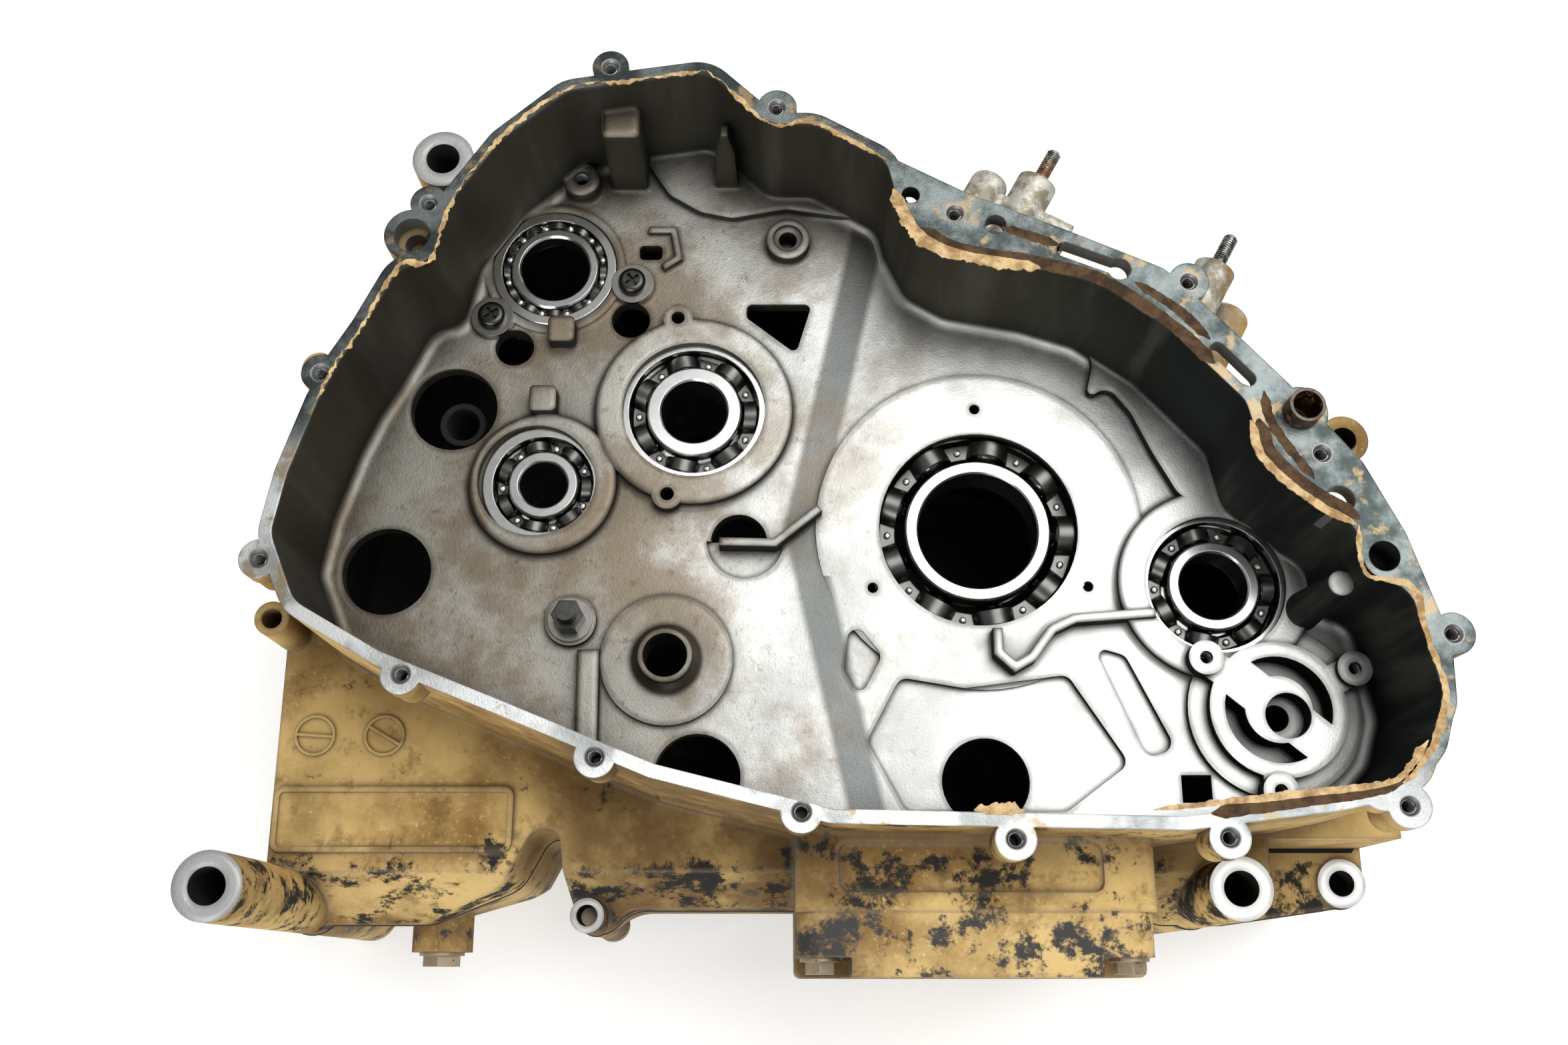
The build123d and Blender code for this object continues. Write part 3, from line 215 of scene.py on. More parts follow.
def places_group():
    """Where a point of the case is: in the chamber, on its flange, on a bare end."""
    group, _, end = new_group("places on the case", [], [
        ("Inside", "NodeSocketFloat"), ("Flange", "NodeSocketFloat"), ("Bare end", "NodeSocketFloat"),
        ("Painted shade", "NodeSocketFloat"), ("Tapped", "NodeSocketFloat"), ("Floor shadow", "NodeSocketFloat"),
        ("Upright", "NodeSocketFloat"), ("Height", "NodeSocketFloat")])
    place = add_node(group, "ShaderNodeTexCoord").outputs["Object"]
    facing = add_node(group, "ShaderNodeNewGeometry").outputs["True Normal"]
    split = add_node(group, "ShaderNodeSeparateXYZ", {0: place})
    up = add_node(group, "ShaderNodeSeparateXYZ", {0: facing}).outputs[2]
    height = split.outputs[2]

    # how far beyond the chamber's hull a point is, below zero within it
    farthest = None
    for index, (x, y) in enumerate(chamber_hull):
        next_x, next_y = chamber_hull[(index + 1) % len(chamber_hull)]
        out = Vector((next_y - y, x - next_x, 0)).normalized()
        reach = (x * out.x + y * out.y) * MM
        along = add_node(group, "ShaderNodeVectorMath", {0: place, 1: out}, operation="DOT_PRODUCT")
        beyond = sum_of(group, "SUBTRACT", along.outputs["Value"], reach)
        farthest = beyond if farthest is None else sum_of(group, "MAXIMUM", farthest, beyond)
    within = sum_of(group, "LESS_THAN", farthest, 0.0)

    # the chamber: in the hull and above the joint, without the faces that look outwards near its edge
    middle_x, outward_from, wall_width = -70.0, 70.0, 12.0
    above = sum_of(group, "GREATER_THAN", height, joint_plane * MM)
    from_middle = add_node(group, "ShaderNodeVectorMath", {0: place, 1: (middle_x * MM, 0.0, 0.0)},
                           operation="SUBTRACT")
    towards = add_node(group, "ShaderNodeVectorMath", {0: facing, 1: from_middle.outputs[0]},
                       operation="DOT_PRODUCT").outputs["Value"]
    upright_face = sum_of(group, "LESS_THAN", sum_of(group, "ABSOLUTE", up), 0.5)
    outward = sum_of(group, "GREATER_THAN", towards, outward_from * MM)
    outer_wall = sum_of(group, "MULTIPLY", sum_of(group, "GREATER_THAN", farthest, -wall_width * MM),
                        sum_of(group, "MULTIPLY", outward, upright_face))
    inside = sum_of(group, "MULTIPLY", sum_of(group, "SUBTRACT", within, outer_wall, clamp=True), above)

    # the flange's ground face
    face_slack = 0.4
    level = between(group, up, 0.9, 0.97)
    on_top = sum_of(group, "GREATER_THAN", height, (flange_top - face_slack) * MM)
    flange = sum_of(group, "MULTIPLY", on_top, level)

    flat_place = add_node(group, "ShaderNodeCombineXYZ", {0: split.outputs[0], 1: split.outputs[1]})

    def near_any(spots):
        """A mask within the radius of any of the spots."""
        slack = 0.15
        found = None
        for x, y, radius in spots:
            away = add_node(group, "ShaderNodeVectorMath",
                            {0: flat_place.outputs[0], 1: (x * MM, y * MM, 0)}, operation="DISTANCE")
            close = sum_of(group, "LESS_THAN", away.outputs["Value"], (radius + slack) * MM)
            found = close if found is None else sum_of(group, "MAXIMUM", found, close)
        return found

    # bare metal: ends of tubes, the walls of holes near the flange's face
    ring_width, bored_depth = 1.2, 19.0
    bare = sum_of(group, "MULTIPLY", near_any(bare_ends), level)
    tapped = near_any([(x, y, core_radius + ring_width) for x, y in flange_holes])
    steep = sum_of(group, "SUBTRACT", 1.0, level)
    near_top = sum_of(group, "GREATER_THAN", height, (flange_top - bored_depth) * MM)
    ways = sum_of(group, "MULTIPLY", near_any(flange_ways), sum_of(group, "MULTIPLY", steep, near_top))
    tapped = sum_of(group, "MAXIMUM", sum_of(group, "MULTIPLY", tapped, near_top), ways)

    # what is seen only through openings gets painted shade: under the floor, the far half's inside, deep
    # bores
    inward_from, body_bottom, inner_reach, front_limit, rim_height = -10.0, -6.0, 25.0, -128.0, 12.0
    below = sum_of(group, "LESS_THAN", height, floor_underside * MM)
    hollow = sum_of(group, "MULTIPLY", within, below)
    low = sum_of(group, "LESS_THAN", height, far_floor_top * MM)
    far_floor = sum_of(group, "MULTIPLY", low, sum_of(group, "GREATER_THAN", up, 0.3))
    inward = sum_of(group, "LESS_THAN", towards, inward_from * MM)
    under_body = sum_of(group, "LESS_THAN", height, body_bottom * MM)
    inner = sum_of(group, "MAXIMUM", far_floor, sum_of(group, "MULTIPLY", inward, under_body))
    inner = sum_of(group, "MULTIPLY", inner, sum_of(group, "LESS_THAN", farthest, inner_reach * MM))
    behind_front = sum_of(group, "GREATER_THAN", split.outputs[1], front_limit * MM)
    inner = sum_of(group, "MULTIPLY", inner, behind_front)
    hollow = sum_of(group, "MAXIMUM", hollow, inner)
    dark = sum_of(group, "MAXIMUM", near_any(dark_bores), hollow)
    not_rim = sum_of(group, "GREATER_THAN", height, (rest_height + rim_height) * MM)
    dark = sum_of(group, "MULTIPLY", dark, not_rim)

    # painted shadow: the studio floor is made dark where only the openings show it
    shade_inset = 45.0
    floor_shadow = sum_of(group, "LESS_THAN", farthest, -shade_inset * MM)
    for title, value in (("Inside", inside), ("Flange", flange), ("Bare end", bare),
                         ("Painted shade", dark), ("Tapped", tapped), ("Floor shadow", floor_shadow), ("Upright", up),
                         ("Height", height)):
        group.links.new(value, end.inputs[title])
    return group


def edges_group():
    """A mask along outer edges, where paint and cast skin are rubbed away."""
    group, start, end = new_group("rubbed edges", [("Reach", "NodeSocketFloat", 0.0015)],
                                  [("Mask", "NodeSocketFloat"), ("Normal", "NodeSocketVector")])
    eased = add_node(group, "ShaderNodeBevel", {"Radius": start.outputs["Reach"]}, samples=edge_samples)
    facing = add_node(group, "ShaderNodeNewGeometry").outputs["True Normal"]
    likeness = add_node(group, "ShaderNodeVectorMath", {0: eased.outputs[0], 1: facing},
                        operation="DOT_PRODUCT")
    turned = between(group, likeness.outputs["Value"], 0.995, 0.86)
    group.links.new(turned, end.inputs["Mask"])
    group.links.new(eased.outputs[0], end.inputs["Normal"])
    return group


def corner_shade_group():
    """A mask of painted shade in corners and along feet of bosses."""
    group, start, end = new_group("painted corner shade", [("Reach", "NodeSocketFloat", 0.009)],
                                  [("Mask", "NodeSocketFloat")])
    open_sky = add_node(group, "ShaderNodeAmbientOcclusion", {"Distance": start.outputs["Reach"]},
                        samples=edge_samples, only_local=True)
    group.links.new(between(group, open_sky.outputs["AO"], 0.93, 0.40), end.inputs["Mask"])
    return group


def skin_group():
    """Cast skin: a height for the bump, and a slow change of tone."""
    group, start, end = new_group("cast skin", [("Grain", "NodeSocketFloat", 900.0)],
                                  [("Height", "NodeSocketFloat"), ("Tone", "NodeSocketFloat")])
    place = add_node(group, "ShaderNodeTexCoord").outputs["Object"]
    fine = cloud(group, place, start.outputs["Grain"], 3.0, 0.6)
    lumps = cloud(group, place, 140.0, 3.0)
    height = sum_of(group, "MULTIPLY_ADD", lumps, 0.6)
    group.links.new(fine, height.node.inputs[2])
    tone = cloud(group, place, 22.0, 5.0, 0.6)
    group.links.new(height, end.inputs["Height"])
    group.links.new(tone, end.inputs["Tone"])
    return group


places = places_group()
rubbed_edges = edges_group()
cast_skin = skin_group()
corner_shade = corner_shade_group()


def new_material(name, **values):
    """A Principled material, its constant values set on the shader itself."""
    made = bpy.data.materials.new(name)
    made.use_nodes = True
    shader = made.node_tree.nodes["Principled BSDF"]
    for title, value in values.items():
        shader.inputs[title.replace("_", " ")].default_value = value
    return made, made.node_tree, shader


def add_bump(tree, shader, height, strength, distance, **others):
    """Small unevenness on a material, over its eased edges where they are given as Normal."""
    bump = add_node(tree, "ShaderNodeBump",
                    {"Height": height, "Strength": strength, "Distance": distance, **others})
    tree.links.new(bump.outputs[0], shader.inputs["Normal"])


def outside_paint(tree):
    """Ochre clay dried on the old black paint: its colour, and where the paint shows."""
    place = add_node(tree, "ShaderNodeTexCoord").outputs["Object"]
    split = add_node(tree, "ShaderNodeSeparateXYZ", {0: place})
    slow = cloud(tree, place, 14.0, 6.0, 0.62)
    speckle = cloud(tree, place, 420.0, 5.0, 0.7)
    clay = blend_colours(tree, between(tree, slow, 0.34, 0.60),
                         rgb(0.23, 0.13, 0.038), rgb(0.64, 0.45, 0.18))
    clay = blend_colours(tree, between(tree, speckle, 0.55, 0.75), clay, rgb(0.68, 0.50, 0.24))
    crumbs = cloud(tree, place, 75.0, 7.0, 0.72)
    clay = blend_colours(tree, sum_of(tree, "MULTIPLY", between(tree, crumbs, 0.52, 0.66), 0.55),
                         clay, rgb(0.14, 0.075, 0.022))

    # grime on the neck, and painted shade in corners
    rear_of_neck = between(tree, split.outputs[0], -0.190, -0.160)
    front_of_neck = between(tree, split.outputs[0], -0.035, -0.075)
    grimy = sum_of(tree, "MULTIPLY", sum_of(tree, "MULTIPLY", rear_of_neck, front_of_neck),
                   between(tree, cloud(tree, place, 40.0, 6.0, 0.65), 0.3, 0.6, 0.3, 0.85))
    grimy = sum_of(tree, "MULTIPLY", grimy, between(tree, split.outputs[1], -0.08, -0.10))
    clay = blend_colours(tree, grimy, clay, rgb(0.12, 0.068, 0.026))
    corner = use_group(tree, corner_shade, Reach=0.026)
    clay = blend_colours(tree, sum_of(tree, "MULTIPLY", corner.outputs[0], 0.8),
                         clay, rgb(0.10, 0.055, 0.018))

    # black paint in patches, and more black towards the bottom and along the near edge
    low = between(tree, split.outputs[2], 0.0, -0.06, 0.0, 0.06)
    near_edge = between(tree, split.outputs[1], -0.122, -0.138, 0.0, 0.10)
    patches = sum_of(tree, "ADD", cloud(tree, place, 44.0, 9.0, 0.76),
                     sum_of(tree, "MAXIMUM", low, near_edge))
    worn = between(tree, patches, 0.60, 0.67)
    colour = blend_colours(tree, worn, clay, rgb(0.022, 0.02, 0.018))
    return colour, worn


def case_material():
    """The upper case: bare cast inside, ground flange, clay and old paint outside."""
    made, tree, shader = new_material("bare and painted casting", Specular_Tint=rgb(0.4, 0.4, 0.4))
    where = use_group(tree, places)
    skin = use_group(tree, cast_skin, Grain=1100.0)
    crisp = sum_of(tree, "MAXIMUM", where.outputs["Flange"], where.outputs["Tapped"])
    reach = between(tree, crisp, 0.0, 1.0, 0.0034, 0.0009)
    edges = use_group(tree, rubbed_edges, Reach=reach)
    place = add_node(tree, "ShaderNodeTexCoord").outputs["Object"]
    split = add_node(tree, "ShaderNodeSeparateXYZ", {0: place})
    across, along = split.outputs[0], split.outputs[1]
    upright = sum_of(tree, "ABSOLUTE", where.outputs["Upright"])

    # inside: silver floor, and walls painted dark as shade, darkest at the front, with upright streaks of
    # painted reflection
    cast = blend_colours(tree, between(tree, skin.outputs["Tone"], 0.35, 0.65),
                         rgb(0.38, 0.385, 0.37), rgb(0.63, 0.635, 0.61))
    wall = sum_of(tree, "SUBTRACT", 1.0, between(tree, upright, 0.1, 0.75))
    front = between(tree, across, -0.02, 0.09)
    painted_wall_shade = blend_colours(tree, front, rgb(0.085, 0.078, 0.058), rgb(0.026, 0.031, 0.029))
    drawn = add_node(tree, "ShaderNodeVectorMath", {0: place, 1: (1.0, 1.0, 0.12)}, operation="MULTIPLY")
    painted_reflection_streaks = between(tree, cloud(tree, drawn.outputs[0], 52.0, 5.0, 0.6), 0.46, 0.66)
    painted_wall_shade = blend_colours(tree, sum_of(tree, "MULTIPLY", painted_reflection_streaks, 0.6),
                              painted_wall_shade, rgb(0.14, 0.135, 0.115))
    cast = blend_colours(tree, sum_of(tree, "MULTIPLY", wall, 0.96), cast, painted_wall_shade)
    off_wall = sum_of(tree, "SUBTRACT", 1.0, wall)

    # a dark band of painted shade across the low floor, bent at its middle
    bend = sum_of(tree, "MULTIPLY", sum_of(tree, "ABSOLUTE", along), 0.22)
    band_middle = sum_of(tree, "SUBTRACT", bend, 0.074)
    off_band = sum_of(tree, "ABSOLUTE", sum_of(tree, "SUBTRACT", across, band_middle))
    band = sum_of(tree, "SUBTRACT", 1.0, between(tree, off_band, 0.0055, 0.0095))
    low_floor = sum_of(tree, "LESS_THAN", where.outputs["Height"], (floor_top + 0.3) * MM)
    band = sum_of(tree, "MULTIPLY", sum_of(tree, "MULTIPLY", band, low_floor), 0.85)
    cast = blend_colours(tree, band, cast, rgb(0.10, 0.108, 0.105))

    # brown oil stains and specks, more of them towards the rear, and painted shade in corners
    stain = cloud(tree, place, 17.0, 7.0, 0.65)
    rear = between(tree, across, -0.06, -0.17)
    rear_floor = sum_of(tree, "MULTIPLY", sum_of(tree, "MULTIPLY", rear, 0.75), off_wall)
    cast = blend_colours(tree, rear_floor, cast, rgb(0.27, 0.25, 0.205))
    spread = between(tree, across, 0.06, -0.14, 0.05, 1.0)
    spread = sum_of(tree, "MULTIPLY", spread, off_wall)
    stain = sum_of(tree, "MULTIPLY", between(tree, stain, 0.42, 0.60), spread)
    cast = blend_colours(tree, sum_of(tree, "MULTIPLY", stain, 0.7), cast, rgb(0.16, 0.11, 0.062))
    specks = between(tree, cloud(tree, place, 190.0, 7.0, 0.75), 0.56, 0.66)
    specks = sum_of(tree, "MULTIPLY", sum_of(tree, "MULTIPLY", specks, spread), 0.45)
    cast = blend_colours(tree, specks, cast, rgb(0.11, 0.075, 0.045))
    corner = use_group(tree, corner_shade, Reach=0.017)
    cast = blend_colours(tree, sum_of(tree, "MULTIPLY", corner.outputs[0], 0.85),
                         cast, rgb(0.035, 0.037, 0.034))

    # the flange: ground, blue-grey, blotched brown by the old gasket
    ground = blend_colours(tree, between(tree, cloud(tree, place, 55.0, 6.0, 0.65), 0.38, 0.66),
                           rgb(0.045, 0.056, 0.055), rgb(0.185, 0.21, 0.205))
    lower_left = sum_of(tree, "ADD", along, sum_of(tree, "MULTIPLY", across, 0.3))
    bright = sum_of(tree, "MULTIPLY", between(tree, lower_left, -0.05, -0.09),
                    between(tree, across, 0.02, -0.05, 0.5, 1.0))
    patchy = between(tree, cloud(tree, place, 38.0, 4.0), 0.36, 0.54, 0.4, 0.95)
    ground = blend_colours(tree, sum_of(tree, "MULTIPLY", bright, patchy), ground, rgb(0.76, 0.77, 0.76))
    blotch = between(tree, cloud(tree, place, 85.0, 6.0, 0.6), 0.54, 0.64)
    ground = blend_colours(tree, sum_of(tree, "MULTIPLY", blotch, 0.75), ground, rgb(0.33, 0.24, 0.13))

    # outside: clay, rubbed at its edges, washed off the stud bosses
    clay, _ = outside_paint(tree)
    edge_bare = sum_of(tree, "MULTIPLY", edges.outputs["Mask"], 0.35)
    clay = blend_colours(tree, edge_bare, clay, rgb(0.50, 0.42, 0.30))
    boss_high = between(tree, where.outputs["Height"], 0.036, 0.044)
    boss_rear = between(tree, cloud(tree, place, 45.0, 5.0), 0.40, 0.56)
    boss_rear = sum_of(tree, "MAXIMUM", boss_rear, between(tree, across, 0.085, 0.065))
    boss_rear = sum_of(tree, "MULTIPLY", boss_rear, between(tree, across, 0.112, 0.104))
    boss_rear = sum_of(tree, "MULTIPLY", boss_rear, between(tree, across, -0.035, -0.025))
    washed = sum_of(tree, "MULTIPLY", boss_high, boss_rear)
    washed = sum_of(tree, "MULTIPLY", washed, between(tree, along, 0.06, 0.075))
    scuffed = blend_colours(tree, between(tree, cloud(tree, place, 120.0, 7.0, 0.7), 0.42, 0.6),
                            rgb(0.28, 0.26, 0.20), rgb(0.66, 0.65, 0.60))
    clay = blend_colours(tree, sum_of(tree, "MULTIPLY", washed, 0.92), clay, scuffed)

    # all of it laid together
    colour = blend_colours(tree, where.outputs["Inside"], clay, cast)
    colour = blend_colours(tree, where.outputs["Flange"], colour, ground)
    colour = blend_colours(tree, where.outputs["Bare end"], colour, rgb(0.56, 0.56, 0.55))
    colour = blend_colours(tree, where.outputs["Tapped"], colour, rgb(0.30, 0.30, 0.29))
    # painted shade: black where the inside is seen only through openings, and in deep bores
    colour = blend_colours(tree, where.outputs["Painted shade"], colour, black)
    metal = sum_of(tree, "MAXIMUM", where.outputs["Inside"], where.outputs["Flange"])
    metal = sum_of(tree, "MAXIMUM", metal, where.outputs["Bare end"])
    metal = sum_of(tree, "MAXIMUM", metal, where.outputs["Tapped"])
    metal = sum_of(tree, "MULTIPLY", metal, sum_of(tree, "SUBTRACT", 1.0, where.outputs["Painted shade"]))
    metal = sum_of(tree, "MAXIMUM", metal, sum_of(tree, "MULTIPLY", washed, 0.7))
    tree.links.new(colour, shader.inputs["Base Color"])
    tree.links.new(metal, shader.inputs["Metallic"])
    polish = sum_of(tree, "SUBTRACT", metal, sum_of(tree, "MULTIPLY", wall, 0.4))
    rough = sum_of(tree, "MULTIPLY_ADD", polish, -0.42)
    rough.node.inputs[2].default_value = 0.86
    tree.links.new(rough, shader.inputs["Roughness"])
    add_bump(tree, shader, skin.outputs["Height"], 0.16, 0.0006, Normal=edges.outputs["Normal"])
    return made


def painted_material():
    """Clay and old paint all over, for the lower case and the sump cover."""
    made, tree, shader = new_material("painted casting", Metallic=0.0)
    edges = use_group(tree, rubbed_edges, Reach=0.0016)
    where = use_group(tree, places)
    skin = use_group(tree, cast_skin, Grain=1400.0)
    colour, worn = outside_paint(tree)
    edge_bare = sum_of(tree, "MULTIPLY", edges.outputs["Mask"], 0.3)
    colour = blend_colours(tree, edge_bare, colour, rgb(0.50, 0.42, 0.30))
    # painted shade: black where the inside is seen only through openings, and in deep bores
    colour = blend_colours(tree, where.outputs["Painted shade"], colour, black)
    tree.links.new(colour, shader.inputs["Base Color"])
    tree.links.new(between(tree, worn, 0.0, 1.0, 0.88, 0.6), shader.inputs["Roughness"])
    add_bump(tree, shader, skin.outputs["Height"], 0.3, 0.0008, Normal=edges.outputs["Normal"])
    return made


def steel_material(name, light, dark, rough, rust=0.0):
    """Plain steel with fine scratches, and rust in blotches where asked."""
    made, tree, shader = new_material(name)
    place = add_node(tree, "ShaderNodeTexCoord").outputs["Object"]
    tone = cloud(tree, place, 260.0, 4.0)
    colour = blend_colours(tree, tone, dark, light)
    blotches = cloud(tree, place, 240.0, 6.0, 0.7)
    rusty = between(tree, blotches, 0.72 - 0.45 * rust, 0.80 - 0.45 * rust)
    colour = blend_colours(tree, rusty, colour, rgb(0.16, 0.06, 0.022))
    tree.links.new(colour, shader.inputs["Base Color"])
    tree.links.new(between(tree, rusty, 0.0, 1.0, 1.0, 0.05), shader.inputs["Metallic"])
    tree.links.new(between(tree, rusty, 0.0, 1.0, rough, 0.85), shader.inputs["Roughness"])
    edges = use_group(tree, rubbed_edges, Reach=0.0006)
    scratches = cloud(tree, place, 2600.0, 2.0)
    add_bump(tree, shader, scratches, 0.06, 0.0002, Normal=edges.outputs["Normal"])
    return made


def stud_material():
    """Dull zinc, greyed in the threads, and rust on the rear stud near its boss."""
    made, tree, shader = new_material("dull zinc", Roughness=0.42)
    place = add_node(tree, "ShaderNodeTexCoord").outputs["Object"]
    across = add_node(tree, "ShaderNodeSeparateXYZ", {0: place}).outputs[0]
    deck_way = (0.485, 0.875, 0.0)  # the deck's angle as a direction
    outwards = add_node(tree, "ShaderNodeVectorMath", {0: place, 1: deck_way},
                        operation="DOT_PRODUCT").outputs["Value"]
    colour = blend_colours(tree, between(tree, cloud(tree, place, 420.0, 5.0, 0.7), 0.4, 0.62),
                           rgb(0.085, 0.098, 0.092), rgb(0.46, 0.48, 0.46))
    near_boss = between(tree, outwards, 0.150, 0.140)
    on_rear_stud = between(tree, across, 0.07, 0.05)
    rusty = between(tree, cloud(tree, place, 330.0, 6.0, 0.7), 0.46, 0.52)
    rusty = sum_of(tree, "MULTIPLY", sum_of(tree, "MULTIPLY", rusty, near_boss), on_rear_stud)
    colour = blend_colours(tree, rusty, colour, rgb(0.28, 0.105, 0.032))
    tree.links.new(colour, shader.inputs["Base Color"])
    tree.links.new(sum_of(tree, "SUBTRACT", 1.0, rusty), shader.inputs["Metallic"])
    return made


def fibre_material(name, dark, light, rough):
    """The gasket's torn fibre, tan at its edge and brown where oil soaked it."""
    made, tree, shader = new_material(name, Metallic=0.0, Roughness=rough, Specular_IOR_Level=0.2)
    place = add_node(tree, "ShaderNodeTexCoord").outputs["Object"]
    tone = cloud(tree, place, 150.0, 7.0, 0.65)
    colour = blend_colours(tree, between(tree, tone, 0.38, 0.62), dark, light)
    tree.links.new(colour, shader.inputs["Base Color"])
    add_bump(tree, shader, cloud(tree, place, 1500.0, 3.0), 0.4, 0.0004)
    return made


def sealant_material():
    """Black sealant with a little dust on it."""
    made, tree, shader = new_material("old sealant", Metallic=0.0, Roughness=0.6)
    place = add_node(tree, "ShaderNodeTexCoord").outputs["Object"]
    colour = blend_colours(tree, cloud(tree, place, 90.0, 5.0), black, rgb(0.07, 0.055, 0.04))
    tree.links.new(colour, shader.inputs["Base Color"])
    return made


finishes = {
    "case": case_material(),
    "paint": painted_material(),
    "ring": steel_material("ground ring steel", rgb(0.66, 0.66, 0.65), rgb(0.50, 0.50, 0.49), 0.2),
    # painted shade: the balls' steel is made dark as they sit in shade between the rings
    "ball": steel_material("ball steel painted dark as shade", rgb(0.13, 0.13, 0.125), rgb(0.08, 0.08, 0.076), 0.1),
    # painted shade: the cage's steel is made dark as it sits in shade between the rings
    "cage": steel_material("cage steel painted dark as shade", rgb(0.15, 0.148, 0.14), rgb(0.075, 0.073, 0.068), 0.34),
    # painted highlight: the rivet heads, of the cage's steel, are made bright
    "rivet": steel_material("rivet steel painted bright as highlight", rgb(0.72, 0.72, 0.70), rgb(0.55, 0.55, 0.53), 0.3),
    "oiled": steel_material("oiled steel", rgb(0.10, 0.098, 0.09), rgb(0.035, 0.034, 0.03), 0.3, 0.05),
    "washer": steel_material("washer steel", rgb(0.30, 0.29, 0.27), rgb(0.16, 0.155, 0.14), 0.3, 0.1),
    "stud": stud_material(),
    "thread": steel_material("thread metal", rgb(0.52, 0.52, 0.50), rgb(0.30, 0.30, 0.29), 0.35),
    "rusty": steel_material("rusty steel", rgb(0.12, 0.10, 0.09), rgb(0.05, 0.04, 0.035), 0.4, 0.45),
    "bolt": steel_material("muddy bolt steel", rgb(0.50, 0.44, 0.34), rgb(0.34, 0.26, 0.16), 0.55, 0.3),
    "tan fibre": fibre_material("tan gasket fibre", rgb(0.33, 0.20, 0.085), rgb(0.66, 0.48, 0.25), 0.85),
    "oiled fibre": fibre_material("oiled gasket fibre", rgb(0.038, 0.021, 0.010),
                                  rgb(0.105, 0.058, 0.026), 0.72),
    "sealant": sealant_material(),
}

node_finishes = {
    "upper_case": "case", "lower_case": "paint", "sump_cover": "paint", "case_sealant": "sealant",
    "sump_cover_bolts": "bolt", "drain_plug": "bolt", "case_bolts": "bolt", "retaining_screws": "oiled",
    "retaining_washers": "washer", "pivot_washer": "washer", "pivot_pin": "oiled", "cover_dowel": "rusty",
    "side_studs": "stud", "gasket_remains": "oiled fibre",
}
for bearing, *_ in bearings:
    node_finishes[bearing + "_outer_ring"] = "ring"
    node_finishes[bearing + "_inner_ring"] = "ring"
    node_finishes[bearing + "_cage"] = "cage"
    node_finishes[bearing + "_balls"] = "ball"
for node_name, finish in node_finishes.items():
    node_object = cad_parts[node_name]
    for node_slot in node_object.material_slots:
        node_slot.material = finishes[finish]


# Pieces laid over the solids: torn gasket, threads, studs, a post and rivet heads

def deselect():
    """Nothing is selected any more."""
    bpy.ops.object.select_all(action="DESELECT")


def finish_piece(piece, name, finish):
    """Names a piece, gives it its finish and makes it ride on the case."""
    piece.name = name
    piece.data.name = name
    piece.data.materials.clear()
    piece.data.materials.append(finishes[finish])
    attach(piece, "case")
    return piece


def turn_faces_out(close_ends=False):
    """Makes the active piece's faces look outwards, its open ends closed first where asked."""
    bpy.ops.object.mode_set(mode="EDIT")
    bpy.ops.mesh.select_all(action="SELECT")
    if close_ends:
        bpy.ops.mesh.edge_face_add()
    bpy.ops.mesh.normals_make_consistent(inside=False)
    bpy.ops.object.mode_set(mode="OBJECT")


def ease_ends(piece, width):
    """Rounds a piece's sharp edges by a width in millimetres."""
    ease = piece.modifiers.new("eased ends", "BEVEL")
    ease.width = width * MM
    ease.segments = 2
    ease.limit_method = "ANGLE"
    bpy.ops.object.modifier_apply(modifier=ease.name)


def fine_line(points, step):
    """A smooth line through the points, in steps of about that many millimetres."""
    knots = [Vector((x, y)) for x, y in points]
    knots = [2 * knots[0] - knots[1]] + knots + [2 * knots[-1] - knots[-2]]
    line = []
    for index in range(1, len(knots) - 2):
        before, start, end, after = knots[index - 1:index + 3]
        count = max(1, round((end - start).length / step))
        for part in range(count):
            t = part / count
            bend = 2 * start + (end - before) * t
            bend += (2 * before - 5 * start + 4 * end - after) * t * t
            bend += (3 * start - before - 3 * end + after) * t * t * t
            line.append(bend / 2)
    line.append(knots[-2])
    return line


def torn_strip(name, points, inner, outer, rough_in, rough_out, finish):
    """A strip of gasket laid along a line on the flange, torn along both edges."""
    step, paper, least_width, taper_rows = 0.9, 0.45, 0.15, 6
    lift = 0.12 if finish == "tan fibre" else 0.03
    line = fine_line(points, step)
    rows = len(line) - 1
    deselect()
    bpy.ops.mesh.primitive_grid_add(x_subdivisions=rows, y_subdivisions=4, size=2.0, location=(0, 0, 0))
    piece = bpy.context.object
    for vertex in piece.data.vertices:
        row = round((vertex.co.x + 1) / 2 * rows)
        side = (vertex.co.y + 1) / 2
        here = line[row]
        ahead = line[min(row + 1, rows)] - line[max(row - 1, 0)]
        out = Vector((ahead.y, -ahead.x)).normalized()
        taper = min(1.0, (row + 1) / taper_rows, (rows - row + 1) / taper_rows)
        wander = Vector((here.x * 0.055, here.y * 0.055, inner))
        tear = Vector((here.x * 0.33, here.y * 0.33, outer))
        fray = Vector((here.x * 1.1, here.y * 1.1, outer))
        low = inner + rough_in * (noise.noise(wander) * 1.4 + noise.noise(tear) + noise.noise(fray) * 0.5)
        wander += Vector((9, 9, 9))
        tear += Vector((7, 3, 5))
        high = outer + rough_out * (noise.noise(wander) * 1.4 + noise.noise(tear) + noise.noise(fray) * 0.5)
        high = max(high, low + least_width)
        middle = (low + high) / 2
        reach = middle + (low + (high - low) * side - middle) * taper
        spot = here + out * reach
        vertex.co = (spot.x * MM, spot.y * MM, (flange_top + lift) * MM)
    thick = piece.modifiers.new("thickness", "SOLIDIFY")
    thick.thickness = paper * MM
    thick.offset = 1.0
    bpy.ops.object.modifier_apply(modifier=thick.name)
    turn_faces_out()
    return finish_piece(piece, name, finish)


